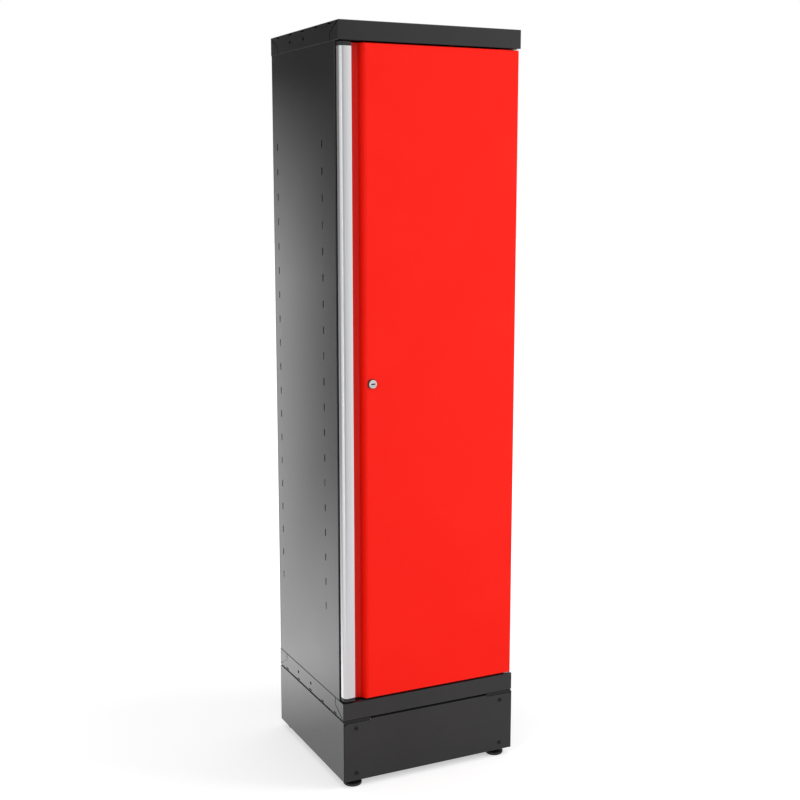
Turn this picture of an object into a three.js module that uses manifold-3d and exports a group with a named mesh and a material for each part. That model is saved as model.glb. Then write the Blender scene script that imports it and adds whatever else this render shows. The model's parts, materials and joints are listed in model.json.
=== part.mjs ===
// Tall single-door steel locker on a plinth, as used beside a workshop tool chest.
// Millimetres, +Z up, +X to the right of a person facing the door, +Y to the rear.
// The pieces are placed in a frame whose zero is the cap's front left corner on the floor,
// and the whole locker is then moved so that its origin is the middle of its footprint.
import * as THREE from "three";
import { mergeVertices } from "three/addons/utils/BufferGeometryUtils.js";
import Module from "manifold-3d";

const wasm = await Module();
wasm.setup();

// Overall sizes
const WIDTH = 518;
const DEPTH = 471;
const HEIGHT = 2000;
const SHEET = 1.2;
const FIT_GAP = 0.3;
const ROUND_SIDES = 24;
const CURVE_STEPS = 6;
const WELD_DISTANCE = 0.0001;
const CURVE_JOIN_DISTANCE = 0.03;

// Top cap and bottom tray: one pressing, used twice
const TRAY_HEIGHT = 48;
const TRAY_LIP = 24;
const TRAY_HOLE_DIAMETER = 8.5;
const TRAY_HOLE_FRONT = 231;
const TRAY_HOLE_PITCH = 94;
const TRAY_HOLE_HEIGHT = 25;
const FOLD_SLOT_LENGTH = 19;
const FOLD_SLOT_WIDTH = 3.6;
const FOLD_SLOT_HEIGHT = 5;
const FOLD_SLOT_FRONT = 56;
const FOLD_SLOT_PITCH = 89;
const FOLD_SLOT_COUNT = 5;
const TAB_LENGTH = 54;
const TAB_SEAM_RISE = 19;
const TAB_SEAM_WIDTH = 0.8;
const TAB_SEAM_DEPTH = 0.5;

// Side panels and back
const PANEL_SETBACK = 28.5;
const FRONT_FLANGE = 40;
const REAR_FLANGE = 20;
const SHELF_SLOT_WIDTH = 5.6;
const SHELF_SLOT_LENGTH = 20;
const SHELF_SLOT_PITCH = 68;
const SHELF_SLOT_COUNT = 19;
const SHELF_SLOT_FRONT_INSET = 87;
const SHELF_SLOT_REAR_INSET = 33.4;
const SHELF_SLOT_LOWEST = 239;

// Shelves and the rails that hook into the slots
const SHELF_SLOT_INDICES = [0, 5, 10, 15];
const SHELF_FRONT_SPACE = 15;
const SHELF_REAR_SPACE = 3;
const SHELF_SIDE_SPACE = 1;
const SHELF_FLANGE = 30;
const SHELF_RETURN = 12;
const RAIL_SHEET = 1.5;
const RAIL_HEIGHT = 30;
const RAIL_LEDGE = 18;
const RAIL_OVERRUN = 15;
const TONGUE_HEIGHT = 14;
const TONGUE_SIDE_GAP = 0.5;

// Plinth
const PLINTH_CLEARANCE = 20;
const PLINTH_HEIGHT = 170;
const PLINTH_SHADOW_GAP = 4;
const PLINTH_RETURN = 15;
const PLINTH_NOTCH_LENGTH = 80;
const PLINTH_NOTCH_DEPTH = 3;
const PLINTH_CORNER = 8;
const BRACKET_SHEET = 3;
const BRACKET_DEPTH = 77;
const BRACKET_FLOOR_SPACE = 4;
const SCREW_INSET = 37.5;
const SCREW_EDGE = 21.5;
const SCREW_SHANK = 6;
const SCREW_LENGTH = 14;
const SCREW_HEAD = 12;
const SCREW_DOME = 3;
const SCREW_PLAY = 0.6;

// Levelling feet
const FOOT_INSET_SIDE = 38;
const FOOT_INSET_END = 29;
const PAD_DIAMETER = 50;
const PAD_RIM = 8;
const PAD_CHAMFER = 2.5;
const PAD_BOSS_DIAMETER = 22;
const PAD_HEIGHT = 14;
const PAD_FLOOR = 5;
const STUD_DIAMETER = 10;
const STUD_LENGTH = 76;
const STUD_PLAY = 0.6;
const NUT_ACROSS_FLATS = 17;
const NUT_HEIGHT = 8;

// Door
const DOOR_SETBACK = 1.5;
const DOOR_THICKNESS = 20.5;
const DOOR_LEFT_GAP = 3;
const DOOR_RIGHT_GAP = 4.5;
const DOOR_END_GAP = 4;
const RECESS_FRONT = 72.3;
const RECESS_SLANT = 12;
const STIFFENER_WIDTH = 50;
const STIFFENER_END_SPACE = 30;

// Handle profile along the door's left edge
const HANDLE_WIDTH = 32.5;
const HANDLE_DEPTH = 20;
const HANDLE_WALL = 2.2;
const HANDLE_CORNER = 9;
const HANDLE_EDGE_DROP = 1.8;
const HANDLE_FOOT = 21;
const HANDLE_CAP_HEIGHT = 9.5;
const HANDLE_SPIGOT_LENGTH = 12;

// Pivot pins at the door's right edge
const HINGE_INSET = 15.5;
const HINGE_SETBACK = 12.5;
const PIN_DIAMETER = 8;
const PIN_HEAD_DIAMETER = 14;
const PIN_HEAD_HEIGHT = 3.2;
const PIN_PLAY = 0.6;
const BUSH_WALL = 1.2;
const BUSH_FLANGE_DIAMETER = 18;
const BUSH_FLANGE_HEIGHT = 1.5;
const BUSH_LENGTH = 4;
const BUFFER_DIAMETER = 12;
const BUFFER_INSET = 22;
const BUFFER_END_SPACE = 80;

// Cam lock
const LOCK_INSET = 88;
const LOCK_HEAD_DIAMETER = 22;
const LOCK_HEAD_HEIGHT = 6.7;
const LOCK_HEAD_CHAMFER = 1.5;
const LOCK_BARREL_DIAMETER = 18;
const LOCK_PLAY = 0.6;
const PLUG_DIAMETER = 13;
const PLUG_RECESS = 0.6;
const KEYWAY_LENGTH = 9.5;
const KEYWAY_WIDTH = 2.6;
const KEYWAY_DEPTH = 8;
const LOCK_NUT_ACROSS_FLATS = 24;
const LOCK_NUT_HEIGHT = 5;
const CAM_SQUARE = 7;
const CAM_SHEET = 2.5;
const CAM_LENGTH = 58;
const CAM_WIDTH = 18;
const CAM_CLEARANCE = 1;
const CAM_SCREW_DIAMETER = 5;
const CAM_SCREW_LENGTH = 12;
const CAM_SCREW_HEAD = 11;
const CAM_SCREW_HEAD_HEIGHT = 2.5;

// Finishes
const GRAPHITE_PAINT = { color: 0x3a3a3b, roughness: 0.42, metalness: 0.1 };
const RED_PAINT = { color: 0xff1e0c, roughness: 0.35, metalness: 0.0 };
const SATIN_ALUMINIUM = { color: 0xc8c8ca, roughness: 0.35, metalness: 0.9 };
const BLACK_PLASTIC = { color: 0x151515, roughness: 0.5, metalness: 0.0 };
const BLACK_RUBBER = { color: 0x101010, roughness: 0.8, metalness: 0.0 };
const CHROME = { color: 0xe8e8e8, roughness: 0.15, metalness: 1.0 };
const ZINC_PLATE = { color: 0xb4b6b8, roughness: 0.35, metalness: 1.0 };
const BLACK_STEEL = { color: 0x1c1c1d, roughness: 0.4, metalness: 0.6 };
const GREY_NYLON = { color: 0xc9c6bd, roughness: 0.55, metalness: 0.0 };

// Levels and places worked out from the sizes above
const PLINTH_BOTTOM = PLINTH_CLEARANCE;
const PLINTH_TOP = PLINTH_BOTTOM + PLINTH_HEIGHT;
const TRAY_BOTTOM = PLINTH_TOP + PLINTH_SHADOW_GAP;
const TRAY_TOP = TRAY_BOTTOM + TRAY_HEIGHT;
const CAP_BOTTOM = HEIGHT - TRAY_HEIGHT;
const NEST = SHEET + FIT_GAP;
const PANEL_BOTTOM = TRAY_BOTTOM + NEST;
const PANEL_TOP = HEIGHT - NEST;
const BACK_REAR = DEPTH - NEST;
const PANEL_REAR = BACK_REAR - NEST;
const PANEL_INNER = NEST + SHEET;
const SLOT_ROWS = [PANEL_SETBACK + SHELF_SLOT_FRONT_INSET, PANEL_REAR - SHELF_SLOT_REAR_INSET];
const DOOR_BOTTOM = TRAY_TOP + DOOR_END_GAP;
const DOOR_TOP = CAP_BOTTOM - DOOR_END_GAP;
const DOOR_RIGHT = WIDTH - DOOR_RIGHT_GAP;
const DOOR_REAR = DOOR_SETBACK + DOOR_THICKNESS;
const RECESS_FLOOR = DOOR_REAR - SHEET;
const HINGE_X = WIDTH - HINGE_INSET;
const BUSH_BORE = PIN_DIAMETER + PIN_PLAY;
const BUSH_OUTER = BUSH_BORE + 2 * BUSH_WALL;
const LOCK_Z = (DOOR_BOTTOM + DOOR_TOP) / 2;
const LOCK_FACE = DOOR_SETBACK - FIT_GAP - LOCK_HEAD_HEIGHT;
const CAM_FRONT = PANEL_SETBACK + SHEET + CAM_CLEARANCE;
const CAM_REAR = CAM_FRONT + CAM_SHEET;
const BRACKET_TOP = TRAY_BOTTOM - FIT_GAP;
const BRACKET_BOTTOM = PLINTH_BOTTOM + BRACKET_FLOOR_SPACE;

// Turns a closed geometry into a solid that can be joined and cut.
function toSolid(geometry) {
  geometry.deleteAttribute("normal");
  geometry.deleteAttribute("uv");
  const merged = mergeVertices(geometry, WELD_DISTANCE);
  const corners = merged.index.array;
  const triangles = [];
  for (let i = 0; i < corners.length; i += 3) {
    const [a, b, c] = corners.slice(i, i + 3);
    if (a !== b && b !== c && c !== a) {
      triangles.push(a, b, c);
    }
  }
  const vertProperties = merged.attributes.position.array;
  const triVerts = Uint32Array.from(triangles);
  return new wasm.Manifold(new wasm.Mesh({ numProp: 3, vertProperties, triVerts }));
}

function joined(solids) {
  return solids.reduce((whole, solid) => whole.add(solid));
}

function cut(solid, cutters) {
  return cutters.reduce((rest, cutter) => rest.subtract(cutter), solid);
}

// A block between two opposite corners, given in any order.
function block([xa, xb], [ya, yb], [za, zb]) {
  const size = [xb - xa, yb - ya, zb - za].map(Math.abs);
  const geometry = new THREE.BoxGeometry(...size);
  geometry.translate((xa + xb) / 2, (ya + yb) / 2, (za + zb) / 2);
  return toSolid(geometry);
}

function shapeOf(points) {
  return new THREE.Shape(points.map(([u, v]) => new THREE.Vector2(u, v)));
}

// The corners of a path with arcs, without the points that fall together where two curves meet.
function cornersOf(path) {
  const points = path.getPoints(CURVE_STEPS);
  const isApart = (point, i) => point.distanceTo(points.at(i - 1)) > CURVE_JOIN_DISTANCE;
  return new THREE.Shape(points.filter(isApart));
}

function extruded(shape, length) {
  return new THREE.ExtrudeGeometry(shape, { depth: length, bevelEnabled: false });
}

// A section drawn in plan (x, y) and run upwards.
function uprightSection(shape, [bottom, top]) {
  return toSolid(extruded(shape, top - bottom).translate(0, 0, bottom));
}

// A section drawn from the side (y, z) and run across the width.
function crossSection(shape, [left, right]) {
  const turn = new THREE.Matrix4().makeBasis(
    new THREE.Vector3(0, 1, 0),
    new THREE.Vector3(0, 0, 1),
    new THREE.Vector3(1, 0, 0),
  );
  return toSolid(extruded(shape, right - left).applyMatrix4(turn).translate(left, 0, 0));
}

// A section drawn from the front (x, z) and run backwards.
function depthSection(shape, [front, rear]) {
  return toSolid(extruded(shape, rear - front).rotateX(Math.PI / 2).translate(0, rear, 0));
}

// A turned piece on an upright axis; the profile holds [radius, height] from the lower end up.
function turnedUpright(profile, x, y) {
  const points = profile.map(([radius, height]) => new THREE.Vector2(radius, height));
  return toSolid(new THREE.LatheGeometry(points, ROUND_SIDES).rotateX(Math.PI / 2).translate(x, y, 0));
}

// A turned piece whose axis runs front to rear; the profile holds [radius, y] from front to rear.
function turnedAcross(profile, x, z) {
  const points = profile.map(([radius, y]) => new THREE.Vector2(radius, y));
  return toSolid(new THREE.LatheGeometry(points, ROUND_SIDES).translate(x, 0, z));
}

function rodUpright(diameter, x, y, [bottom, top]) {
  const radius = diameter / 2;
  return turnedUpright([[0, bottom], [radius, bottom], [radius, top], [0, top]], x, y);
}

function rodAcross(diameter, x, z, [front, rear]) {
  const radius = diameter / 2;
  return turnedAcross([[0, front], [radius, front], [radius, rear], [0, rear]], x, z);
}

function rodSideways(diameter, y, z, [left, right]) {
  const geometry = new THREE.CylinderGeometry(diameter / 2, diameter / 2, right - left, ROUND_SIDES);
  return toSolid(geometry.rotateZ(Math.PI / 2).translate((left + right) / 2, y, z));
}

function hexagonUpright(acrossFlats, x, y, [bottom, top]) {
  const radius = acrossFlats / Math.sqrt(3);
  const geometry = new THREE.CylinderGeometry(radius, radius, top - bottom, 6);
  return toSolid(geometry.rotateX(Math.PI / 2).translate(x, y, (bottom + top) / 2));
}

function hexagonAcross(acrossFlats, x, z, [front, rear]) {
  const radius = acrossFlats / Math.sqrt(3);
  const geometry = new THREE.CylinderGeometry(radius, radius, rear - front, 6);
  return toSolid(geometry.translate(x, (front + rear) / 2, z));
}

// The same solid on the locker's other side.
function mirrored(solid) {
  return solid.mirror([1, 0, 0]).translate([WIDTH, 0, 0]);
}

// Adds a solid to a group as a named piece with its own finish.
function addPiece(group, name, solid, finish) {
  const mesh = solid.getMesh();
  const geometry = new THREE.BufferGeometry();
  geometry.setAttribute("position", new THREE.BufferAttribute(mesh.vertProperties, 3));
  geometry.setIndex(new THREE.BufferAttribute(mesh.triVerts, 1));
  geometry.computeVertexNormals();
  const piece = new THREE.Mesh(geometry, new THREE.MeshStandardMaterial(finish));
  piece.name = name;
  group.add(piece);
}

// Folded tray with its plate at `plate` and its walls towards `sense` (+1 up, -1 down).
// The front wall carries an inward lip at its free edge, and the lip takes a hinge bush.
function foldedTray(plate, sense) {
  const level = (height) => plate + sense * height;
  const outer = block([0, WIDTH], [0, DEPTH], [level(0), level(TRAY_HEIGHT)]);
  const hollow = block(
    [SHEET, WIDTH - SHEET],
    [SHEET, DEPTH - SHEET],
    [level(SHEET), level(TRAY_HEIGHT + SHEET)],
  );
  const lip = block([0, WIDTH], [0, TRAY_LIP], [level(TRAY_HEIGHT - SHEET), level(TRAY_HEIGHT)]);
  const cutters = [
    rodUpright(BUSH_OUTER + FIT_GAP, HINGE_X, HINGE_SETBACK, [
      Math.min(level(TRAY_HEIGHT - 2 * SHEET), level(TRAY_HEIGHT + SHEET)),
      Math.max(level(TRAY_HEIGHT - 2 * SHEET), level(TRAY_HEIGHT + SHEET)),
    ]),
  ];
  const through = [-SHEET, WIDTH + SHEET];
  for (let i = 0; i < 2; i += 1) {
    const y = TRAY_HOLE_FRONT + i * TRAY_HOLE_PITCH;
    cutters.push(rodSideways(TRAY_HOLE_DIAMETER, y, level(TRAY_HOLE_HEIGHT), through));
  }
  for (let i = 0; i < FOLD_SLOT_COUNT; i += 1) {
    const y = FOLD_SLOT_FRONT + i * FOLD_SLOT_PITCH;
    const along = [y - FOLD_SLOT_LENGTH / 2, y + FOLD_SLOT_LENGTH / 2];
    const heights = [FOLD_SLOT_HEIGHT - FOLD_SLOT_WIDTH / 2, FOLD_SLOT_HEIGHT + FOLD_SLOT_WIDTH / 2];
    cutters.push(block(through, along, heights.map(level)));
  }
  cutters.push(...tabSeams(level));
  return cut(joined([outer.subtract(hollow), lip]), cutters);
}

// Grooves where the corner tabs of the front and rear walls meet the side walls:
// straight in from the free edge, then slanting to the corner at the plate.
function tabSeams(level) {
  const knee = TRAY_HEIGHT - TAB_SEAM_RISE;
  const half = TAB_SEAM_WIDTH / 2;
  const slant = Math.hypot(TAB_LENGTH, knee);
  const across = [(half * knee) / slant, (half * TAB_LENGTH) / slant];
  const line = [
    [TAB_LENGTH - half, TRAY_HEIGHT + SHEET],
    [TAB_LENGTH - half, knee + across[1]],
    [-across[0], across[1]],
    [across[0], -across[1]],
    [TAB_LENGTH + half, knee - across[1]],
    [TAB_LENGTH + half, TRAY_HEIGHT + SHEET],
  ];
  const grooves = [];
  for (const atRear of [false, true]) {
    const outline = line.map(([y, height]) => [atRear ? DEPTH - y : y, level(height)]);
    const groove = crossSection(shapeOf(outline), [-SHEET, TAB_SEAM_DEPTH]);
    grooves.push(groove, mirrored(groove));
  }
  return grooves;
}

// Left side panel: a sheet with a wide front flange, a narrow rear flange and two rows of slots.
function sidePanel() {
  const outline = shapeOf([
    [NEST, PANEL_SETBACK],
    [NEST + FRONT_FLANGE, PANEL_SETBACK],
    [NEST + FRONT_FLANGE, PANEL_SETBACK + SHEET],
    [PANEL_INNER, PANEL_SETBACK + SHEET],
    [PANEL_INNER, PANEL_REAR - SHEET],
    [NEST + REAR_FLANGE, PANEL_REAR - SHEET],
    [NEST + REAR_FLANGE, PANEL_REAR],
    [NEST, PANEL_REAR],
  ]);
  const slots = [];
  for (const y of SLOT_ROWS) {
    for (let i = 0; i < SHELF_SLOT_COUNT; i += 1) {
      slots.push(block(
        [NEST - SHEET, PANEL_INNER + SHEET],
        [y - SHELF_SLOT_WIDTH / 2, y + SHELF_SLOT_WIDTH / 2],
        [slotCentre(i) - SHELF_SLOT_LENGTH / 2, slotCentre(i) + SHELF_SLOT_LENGTH / 2],
      ));
    }
  }
  return cut(uprightSection(outline, [PANEL_BOTTOM, PANEL_TOP]), slots);
}

function slotCentre(index) {
  return TRAY_TOP + SHELF_SLOT_LOWEST + index * SHELF_SLOT_PITCH;
}

// Top of a rail's ledge, level with the top of the slots that it hooks into.
function ledgeTop(index) {
  return slotCentre(index) + SHELF_SLOT_LENGTH / 2;
}

// Left shelf rail: an angle whose two tongues sit in one slot of each row.
function shelfRail(index) {
  const wall = PANEL_INNER + FIT_GAP;
  const top = ledgeTop(index);
  const angle = shapeOf([
    [wall, top - RAIL_HEIGHT],
    [wall + RAIL_SHEET, top - RAIL_HEIGHT],
    [wall + RAIL_SHEET, top - RAIL_SHEET],
    [wall + RAIL_LEDGE, top - RAIL_SHEET],
    [wall + RAIL_LEDGE, top],
    [wall, top],
  ]);
  const along = [SLOT_ROWS[0] - RAIL_OVERRUN, SLOT_ROWS[1] + RAIL_OVERRUN];
  const tongueBottom = slotCentre(index) - SHELF_SLOT_LENGTH / 2 + FIT_GAP;
  const tongueHalf = SHELF_SLOT_WIDTH / 2 - TONGUE_SIDE_GAP;
  const tongues = SLOT_ROWS.map((y) => block(
    [NEST + FIT_GAP, wall + RAIL_SHEET],
    [y - tongueHalf, y + tongueHalf],
    [tongueBottom, tongueBottom + TONGUE_HEIGHT],
  ));
  return joined([depthSection(angle, along), ...tongues]);
}

// Shelf: a plate folded down at the front, with a return, and at the rear.
function shelf(index) {
  const front = PANEL_SETBACK + SHEET + SHELF_FRONT_SPACE;
  const rear = PANEL_REAR - SHEET - SHELF_REAR_SPACE;
  const underside = ledgeTop(index) + FIT_GAP;
  const top = underside + SHEET;
  const low = top - SHELF_FLANGE;
  const outline = shapeOf([
    [front, top],
    [front, low],
    [front + SHELF_RETURN, low],
    [front + SHELF_RETURN, low + SHEET],
    [front + SHEET, low + SHEET],
    [front + SHEET, underside],
    [rear - SHEET, underside],
    [rear - SHEET, low],
    [rear, low],
    [rear, top],
  ]);
  const left = PANEL_INNER + SHELF_SIDE_SPACE;
  return crossSection(outline, [left, WIDTH - left]);
}

// Plinth end panel: returns on all edges, the top corners notched for the foot brackets
// and cut off at a slant.
function plinthEndPanel(screwHoles) {
  const left = NEST;
  const right = WIDTH - NEST;
  const sheet = block([left, right], [0, SHEET], [PLINTH_BOTTOM, PLINTH_TOP]);
  const sideReturn = block([left, left + SHEET], [0, PLINTH_RETURN], [PLINTH_BOTTOM, PLINTH_TOP]);
  const bottomReturn = block([left, right], [0, PLINTH_RETURN], [PLINTH_BOTTOM, PLINTH_BOTTOM + SHEET]);
  const topReturn = block(
    [PLINTH_NOTCH_LENGTH, WIDTH - PLINTH_NOTCH_LENGTH],
    [0, PLINTH_RETURN],
    [PLINTH_TOP - SHEET, PLINTH_TOP],
  );
  const notch = block(
    [-SHEET, PLINTH_NOTCH_LENGTH],
    [-SHEET, PLINTH_RETURN + SHEET],
    [PLINTH_TOP - PLINTH_NOTCH_DEPTH, PLINTH_TOP + SHEET],
  );
  const ledge = PLINTH_TOP - PLINTH_NOTCH_DEPTH;
  const corner = depthSection(shapeOf([
    [0, ledge + SHEET],
    [0, ledge - PLINTH_CORNER],
    [left, ledge - PLINTH_CORNER],
    [left + PLINTH_CORNER, ledge],
    [left + PLINTH_CORNER, ledge + SHEET],
  ]), [-SHEET, PLINTH_RETURN + SHEET]);
  const whole = joined([sheet, sideReturn, mirrored(sideReturn), bottomReturn, topReturn]);
  return cut(whole, [notch, mirrored(notch), corner, mirrored(corner), ...screwHoles]);
}

// The same solid turned to the locker's rear.
function rearward(solid) {
  return solid.mirror([0, 1, 0]).translate([0, DEPTH, 0]);
}

// Left plinth side: a sheet with returns along its top and bottom, clear of the end panels.
function plinthSide() {
  const length = [FIT_GAP, DEPTH - FIT_GAP];
  const inside = [PLINTH_RETURN + FIT_GAP, DEPTH - PLINTH_RETURN - FIT_GAP];
  const sheet = block([0, SHEET], length, [PLINTH_BOTTOM, PLINTH_TOP]);
  const low = block([0, PLINTH_RETURN], inside, [PLINTH_BOTTOM, PLINTH_BOTTOM + SHEET]);
  const high = block([0, PLINTH_RETURN], inside, [PLINTH_TOP - SHEET, PLINTH_TOP]);
  return joined([sheet, low, high]);
}

const SCREW_LEVELS = [PLINTH_BOTTOM + SCREW_EDGE, PLINTH_TOP - SCREW_EDGE];
const SCREW_HOLE = SCREW_SHANK + SCREW_PLAY;

// Front left foot bracket: top plate under the tray, front plate behind the panel,
// floor plate on the foot's nut, and a web that ties the three together.
function footBracket() {
  const left = NEST + SHEET + FIT_GAP;
  const right = PLINTH_NOTCH_LENGTH - FIT_GAP;
  const front = SHEET + FIT_GAP;
  const rear = front + BRACKET_DEPTH;
  const across = [left, right];
  const high = block(across, [FIT_GAP, rear], [BRACKET_TOP - BRACKET_SHEET, BRACKET_TOP]);
  const face = block(across, [front, front + BRACKET_SHEET], [BRACKET_BOTTOM, BRACKET_TOP]);
  const low = block(across, [front, rear], [BRACKET_BOTTOM, BRACKET_BOTTOM + BRACKET_SHEET]);
  const web = block([right - BRACKET_SHEET, right], [front, rear], [BRACKET_BOTTOM, BRACKET_TOP]);
  const studHole = rodUpright(STUD_DIAMETER + STUD_PLAY, FOOT_INSET_SIDE, FOOT_INSET_END, [
    BRACKET_BOTTOM - BRACKET_SHEET,
    BRACKET_BOTTOM + 2 * BRACKET_SHEET,
  ]);
  const screwHoles = SCREW_LEVELS.map((z) => rodAcross(SCREW_HOLE, SCREW_INSET, z, [0, SCREW_LENGTH]));
  return { body: joined([high, face, low, web]).subtract(studHole), screwHoles };
}

// Dome-headed plinth screw with its axis front to rear.
function plinthScrew(x, z) {
  const shank = SCREW_SHANK / 2;
  const seat = -FIT_GAP;
  const profile = [];
  for (let i = 0; i <= CURVE_STEPS; i += 1) {
    const slope = ((i / CURVE_STEPS) * Math.PI) / 2;
    profile.push([(Math.sin(slope) * SCREW_HEAD) / 2, seat - Math.cos(slope) * SCREW_DOME]);
  }
  profile.push([shank, seat], [shank, SCREW_LENGTH], [0, SCREW_LENGTH]);
  return turnedAcross(profile, x, z);
}

function footPad(x, y) {
  const radius = PAD_DIAMETER / 2;
  const socket = (STUD_DIAMETER + STUD_PLAY) / 2;
  return turnedUpright([
    [0, 0],
    [radius - PAD_CHAMFER, 0],
    [radius, PAD_CHAMFER],
    [radius, PAD_RIM],
    [PAD_BOSS_DIAMETER / 2, PAD_HEIGHT],
    [socket, PAD_HEIGHT],
    [socket, PAD_FLOOR],
    [0, PAD_FLOOR],
  ], x, y);
}

function footStud(x, y) {
  const low = PAD_FLOOR + FIT_GAP;
  return rodUpright(STUD_DIAMETER, x, y, [low, low + STUD_LENGTH]);
}

function footNut(x, y) {
  const low = BRACKET_BOTTOM + BRACKET_SHEET + FIT_GAP;
  const span = [low, low + NUT_HEIGHT];
  const bore = rodUpright(STUD_DIAMETER + STUD_PLAY, x, y, [low - SHEET, low + NUT_HEIGHT + SHEET]);
  return hexagonUpright(NUT_ACROSS_FLATS, x, y, span).subtract(bore);
}

// The slanted left return of the door, as x at a given depth; `behind` is a shift along x.
const RECESS_RISE = RECESS_FLOOR - DOOR_SETBACK;
const SLANT_SHEET = (SHEET * Math.hypot(RECESS_SLANT, RECESS_RISE)) / RECESS_RISE;
function slantAt(y, behind) {
  return RECESS_FRONT - (RECESS_SLANT * (y - DOOR_SETBACK)) / RECESS_RISE + behind;
}

// Door skin: front, right return, slanted left return and the finger recess's floor in one sheet,
// with returns at the top and bottom that take the pivot pins.
function doorSkin() {
  const inside = DOOR_SETBACK + SHEET;
  const section = shapeOf([
    [DOOR_RIGHT, DOOR_REAR],
    [DOOR_RIGHT, DOOR_SETBACK],
    [RECESS_FRONT, DOOR_SETBACK],
    [slantAt(RECESS_FLOOR, 0), RECESS_FLOOR],
    [DOOR_LEFT_GAP, RECESS_FLOOR],
    [DOOR_LEFT_GAP, DOOR_REAR],
    [slantAt(DOOR_REAR, SLANT_SHEET), DOOR_REAR],
    [slantAt(inside, SLANT_SHEET), inside],
    [DOOR_RIGHT - SHEET, inside],
    [DOOR_RIGHT - SHEET, DOOR_REAR],
  ]);
  const endPlate = shapeOf([
    [DOOR_RIGHT, DOOR_SETBACK],
    [DOOR_RIGHT, DOOR_REAR],
    [slantAt(DOOR_REAR, SLANT_SHEET), DOOR_REAR],
    [slantAt(RECESS_FLOOR, 0), RECESS_FLOOR],
    [RECESS_FRONT, DOOR_SETBACK],
  ]);
  const whole = joined([
    uprightSection(section, [DOOR_BOTTOM, DOOR_TOP]),
    uprightSection(endPlate, [DOOR_BOTTOM, DOOR_BOTTOM + SHEET]),
    uprightSection(endPlate, [DOOR_TOP - SHEET, DOOR_TOP]),
  ]);
  const pinSpan = [DOOR_BOTTOM - SHEET, DOOR_TOP + SHEET];
  return cut(whole, [
    rodUpright(PIN_DIAMETER + PIN_PLAY, HINGE_X, HINGE_SETBACK, pinSpan),
    lockHole([DOOR_SETBACK - SHEET, inside + SHEET]),
  ]);
}

function lockHole(span) {
  return rodAcross(LOCK_BARREL_DIAMETER + LOCK_PLAY, LOCK_INSET, LOCK_Z, span);
}

// Door liner: the inner sheet with an upright hat stiffener that backs the skin's middle.
function doorLiner() {
  const left = slantAt(RECESS_FLOOR, SLANT_SHEET) + FIT_GAP;
  const right = DOOR_RIGHT - SHEET - FIT_GAP;
  const low = DOOR_BOTTOM + SHEET + FIT_GAP;
  const high = DOOR_TOP - SHEET - FIT_GAP;
  const middle = (left + right) / 2;
  const hatFront = DOOR_SETBACK + SHEET + FIT_GAP;
  const hatSpan = [low + STIFFENER_END_SPACE, high - STIFFENER_END_SPACE];
  const hatLeft = middle - STIFFENER_WIDTH / 2;
  const hatRight = middle + STIFFENER_WIDTH / 2;
  const hat = shapeOf([
    [hatLeft, DOOR_REAR],
    [hatLeft, hatFront],
    [hatRight, hatFront],
    [hatRight, DOOR_REAR],
    [hatRight - SHEET, DOOR_REAR],
    [hatRight - SHEET, hatFront + SHEET],
    [hatLeft + SHEET, hatFront + SHEET],
    [hatLeft + SHEET, DOOR_REAR],
  ]);
  const sheet = block([left, right], [RECESS_FLOOR, DOOR_REAR], [low, high]);
  const whole = joined([sheet, uprightSection(hat, hatSpan)]);
  return whole.subtract(lockHole([RECESS_FLOOR - SHEET, DOOR_REAR + SHEET]));
}

const HANDLE_LEFT = DOOR_LEFT_GAP;
const HANDLE_RIGHT = HANDLE_LEFT + HANDLE_WIDTH;
const HANDLE_REAR = RECESS_FLOOR - FIT_GAP;
const HANDLE_FRONT = HANDLE_REAR - HANDLE_DEPTH;

// Draws the handle's rounded front from its left wall to its right edge, set in by `inset`.
function drawHandleFront(path, inset, reversed) {
  const centre = [HANDLE_LEFT + HANDLE_CORNER, HANDLE_FRONT + HANDLE_CORNER];
  const edge = [HANDLE_RIGHT, HANDLE_FRONT + HANDLE_EDGE_DROP + inset];
  const crown = [(centre[0] + HANDLE_RIGHT) / 2, HANDLE_FRONT + inset];
  const radius = HANDLE_CORNER - inset;
  if (reversed) {
    path.lineTo(...edge);
    path.quadraticCurveTo(...crown, centre[0], HANDLE_FRONT + inset);
    path.absarc(...centre, radius, 1.5 * Math.PI, Math.PI, true);
  } else {
    path.lineTo(centre[0] - radius, centre[1]);
    path.absarc(...centre, radius, Math.PI, 1.5 * Math.PI, false);
    path.quadraticCurveTo(...crown, ...edge);
  }
}

// Handle profile: an extrusion with a crowned front, a left wall and a foot on the recess floor,
// open to the right so that fingers reach behind the front.
function handleProfile() {
  const shape = new THREE.Shape();
  shape.moveTo(HANDLE_LEFT, HANDLE_REAR);
  drawHandleFront(shape, 0, false);
  drawHandleFront(shape, HANDLE_WALL, true);
  shape.lineTo(HANDLE_LEFT + HANDLE_WALL, HANDLE_REAR - HANDLE_WALL);
  shape.lineTo(HANDLE_LEFT + HANDLE_FOOT, HANDLE_REAR - HANDLE_WALL);
  shape.lineTo(HANDLE_LEFT + HANDLE_FOOT, HANDLE_REAR);
  shape.closePath();
  const ends = HANDLE_CAP_HEIGHT + FIT_GAP;
  return uprightSection(cornersOf(shape), [DOOR_BOTTOM + ends, DOOR_TOP - ends]);
}

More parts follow.
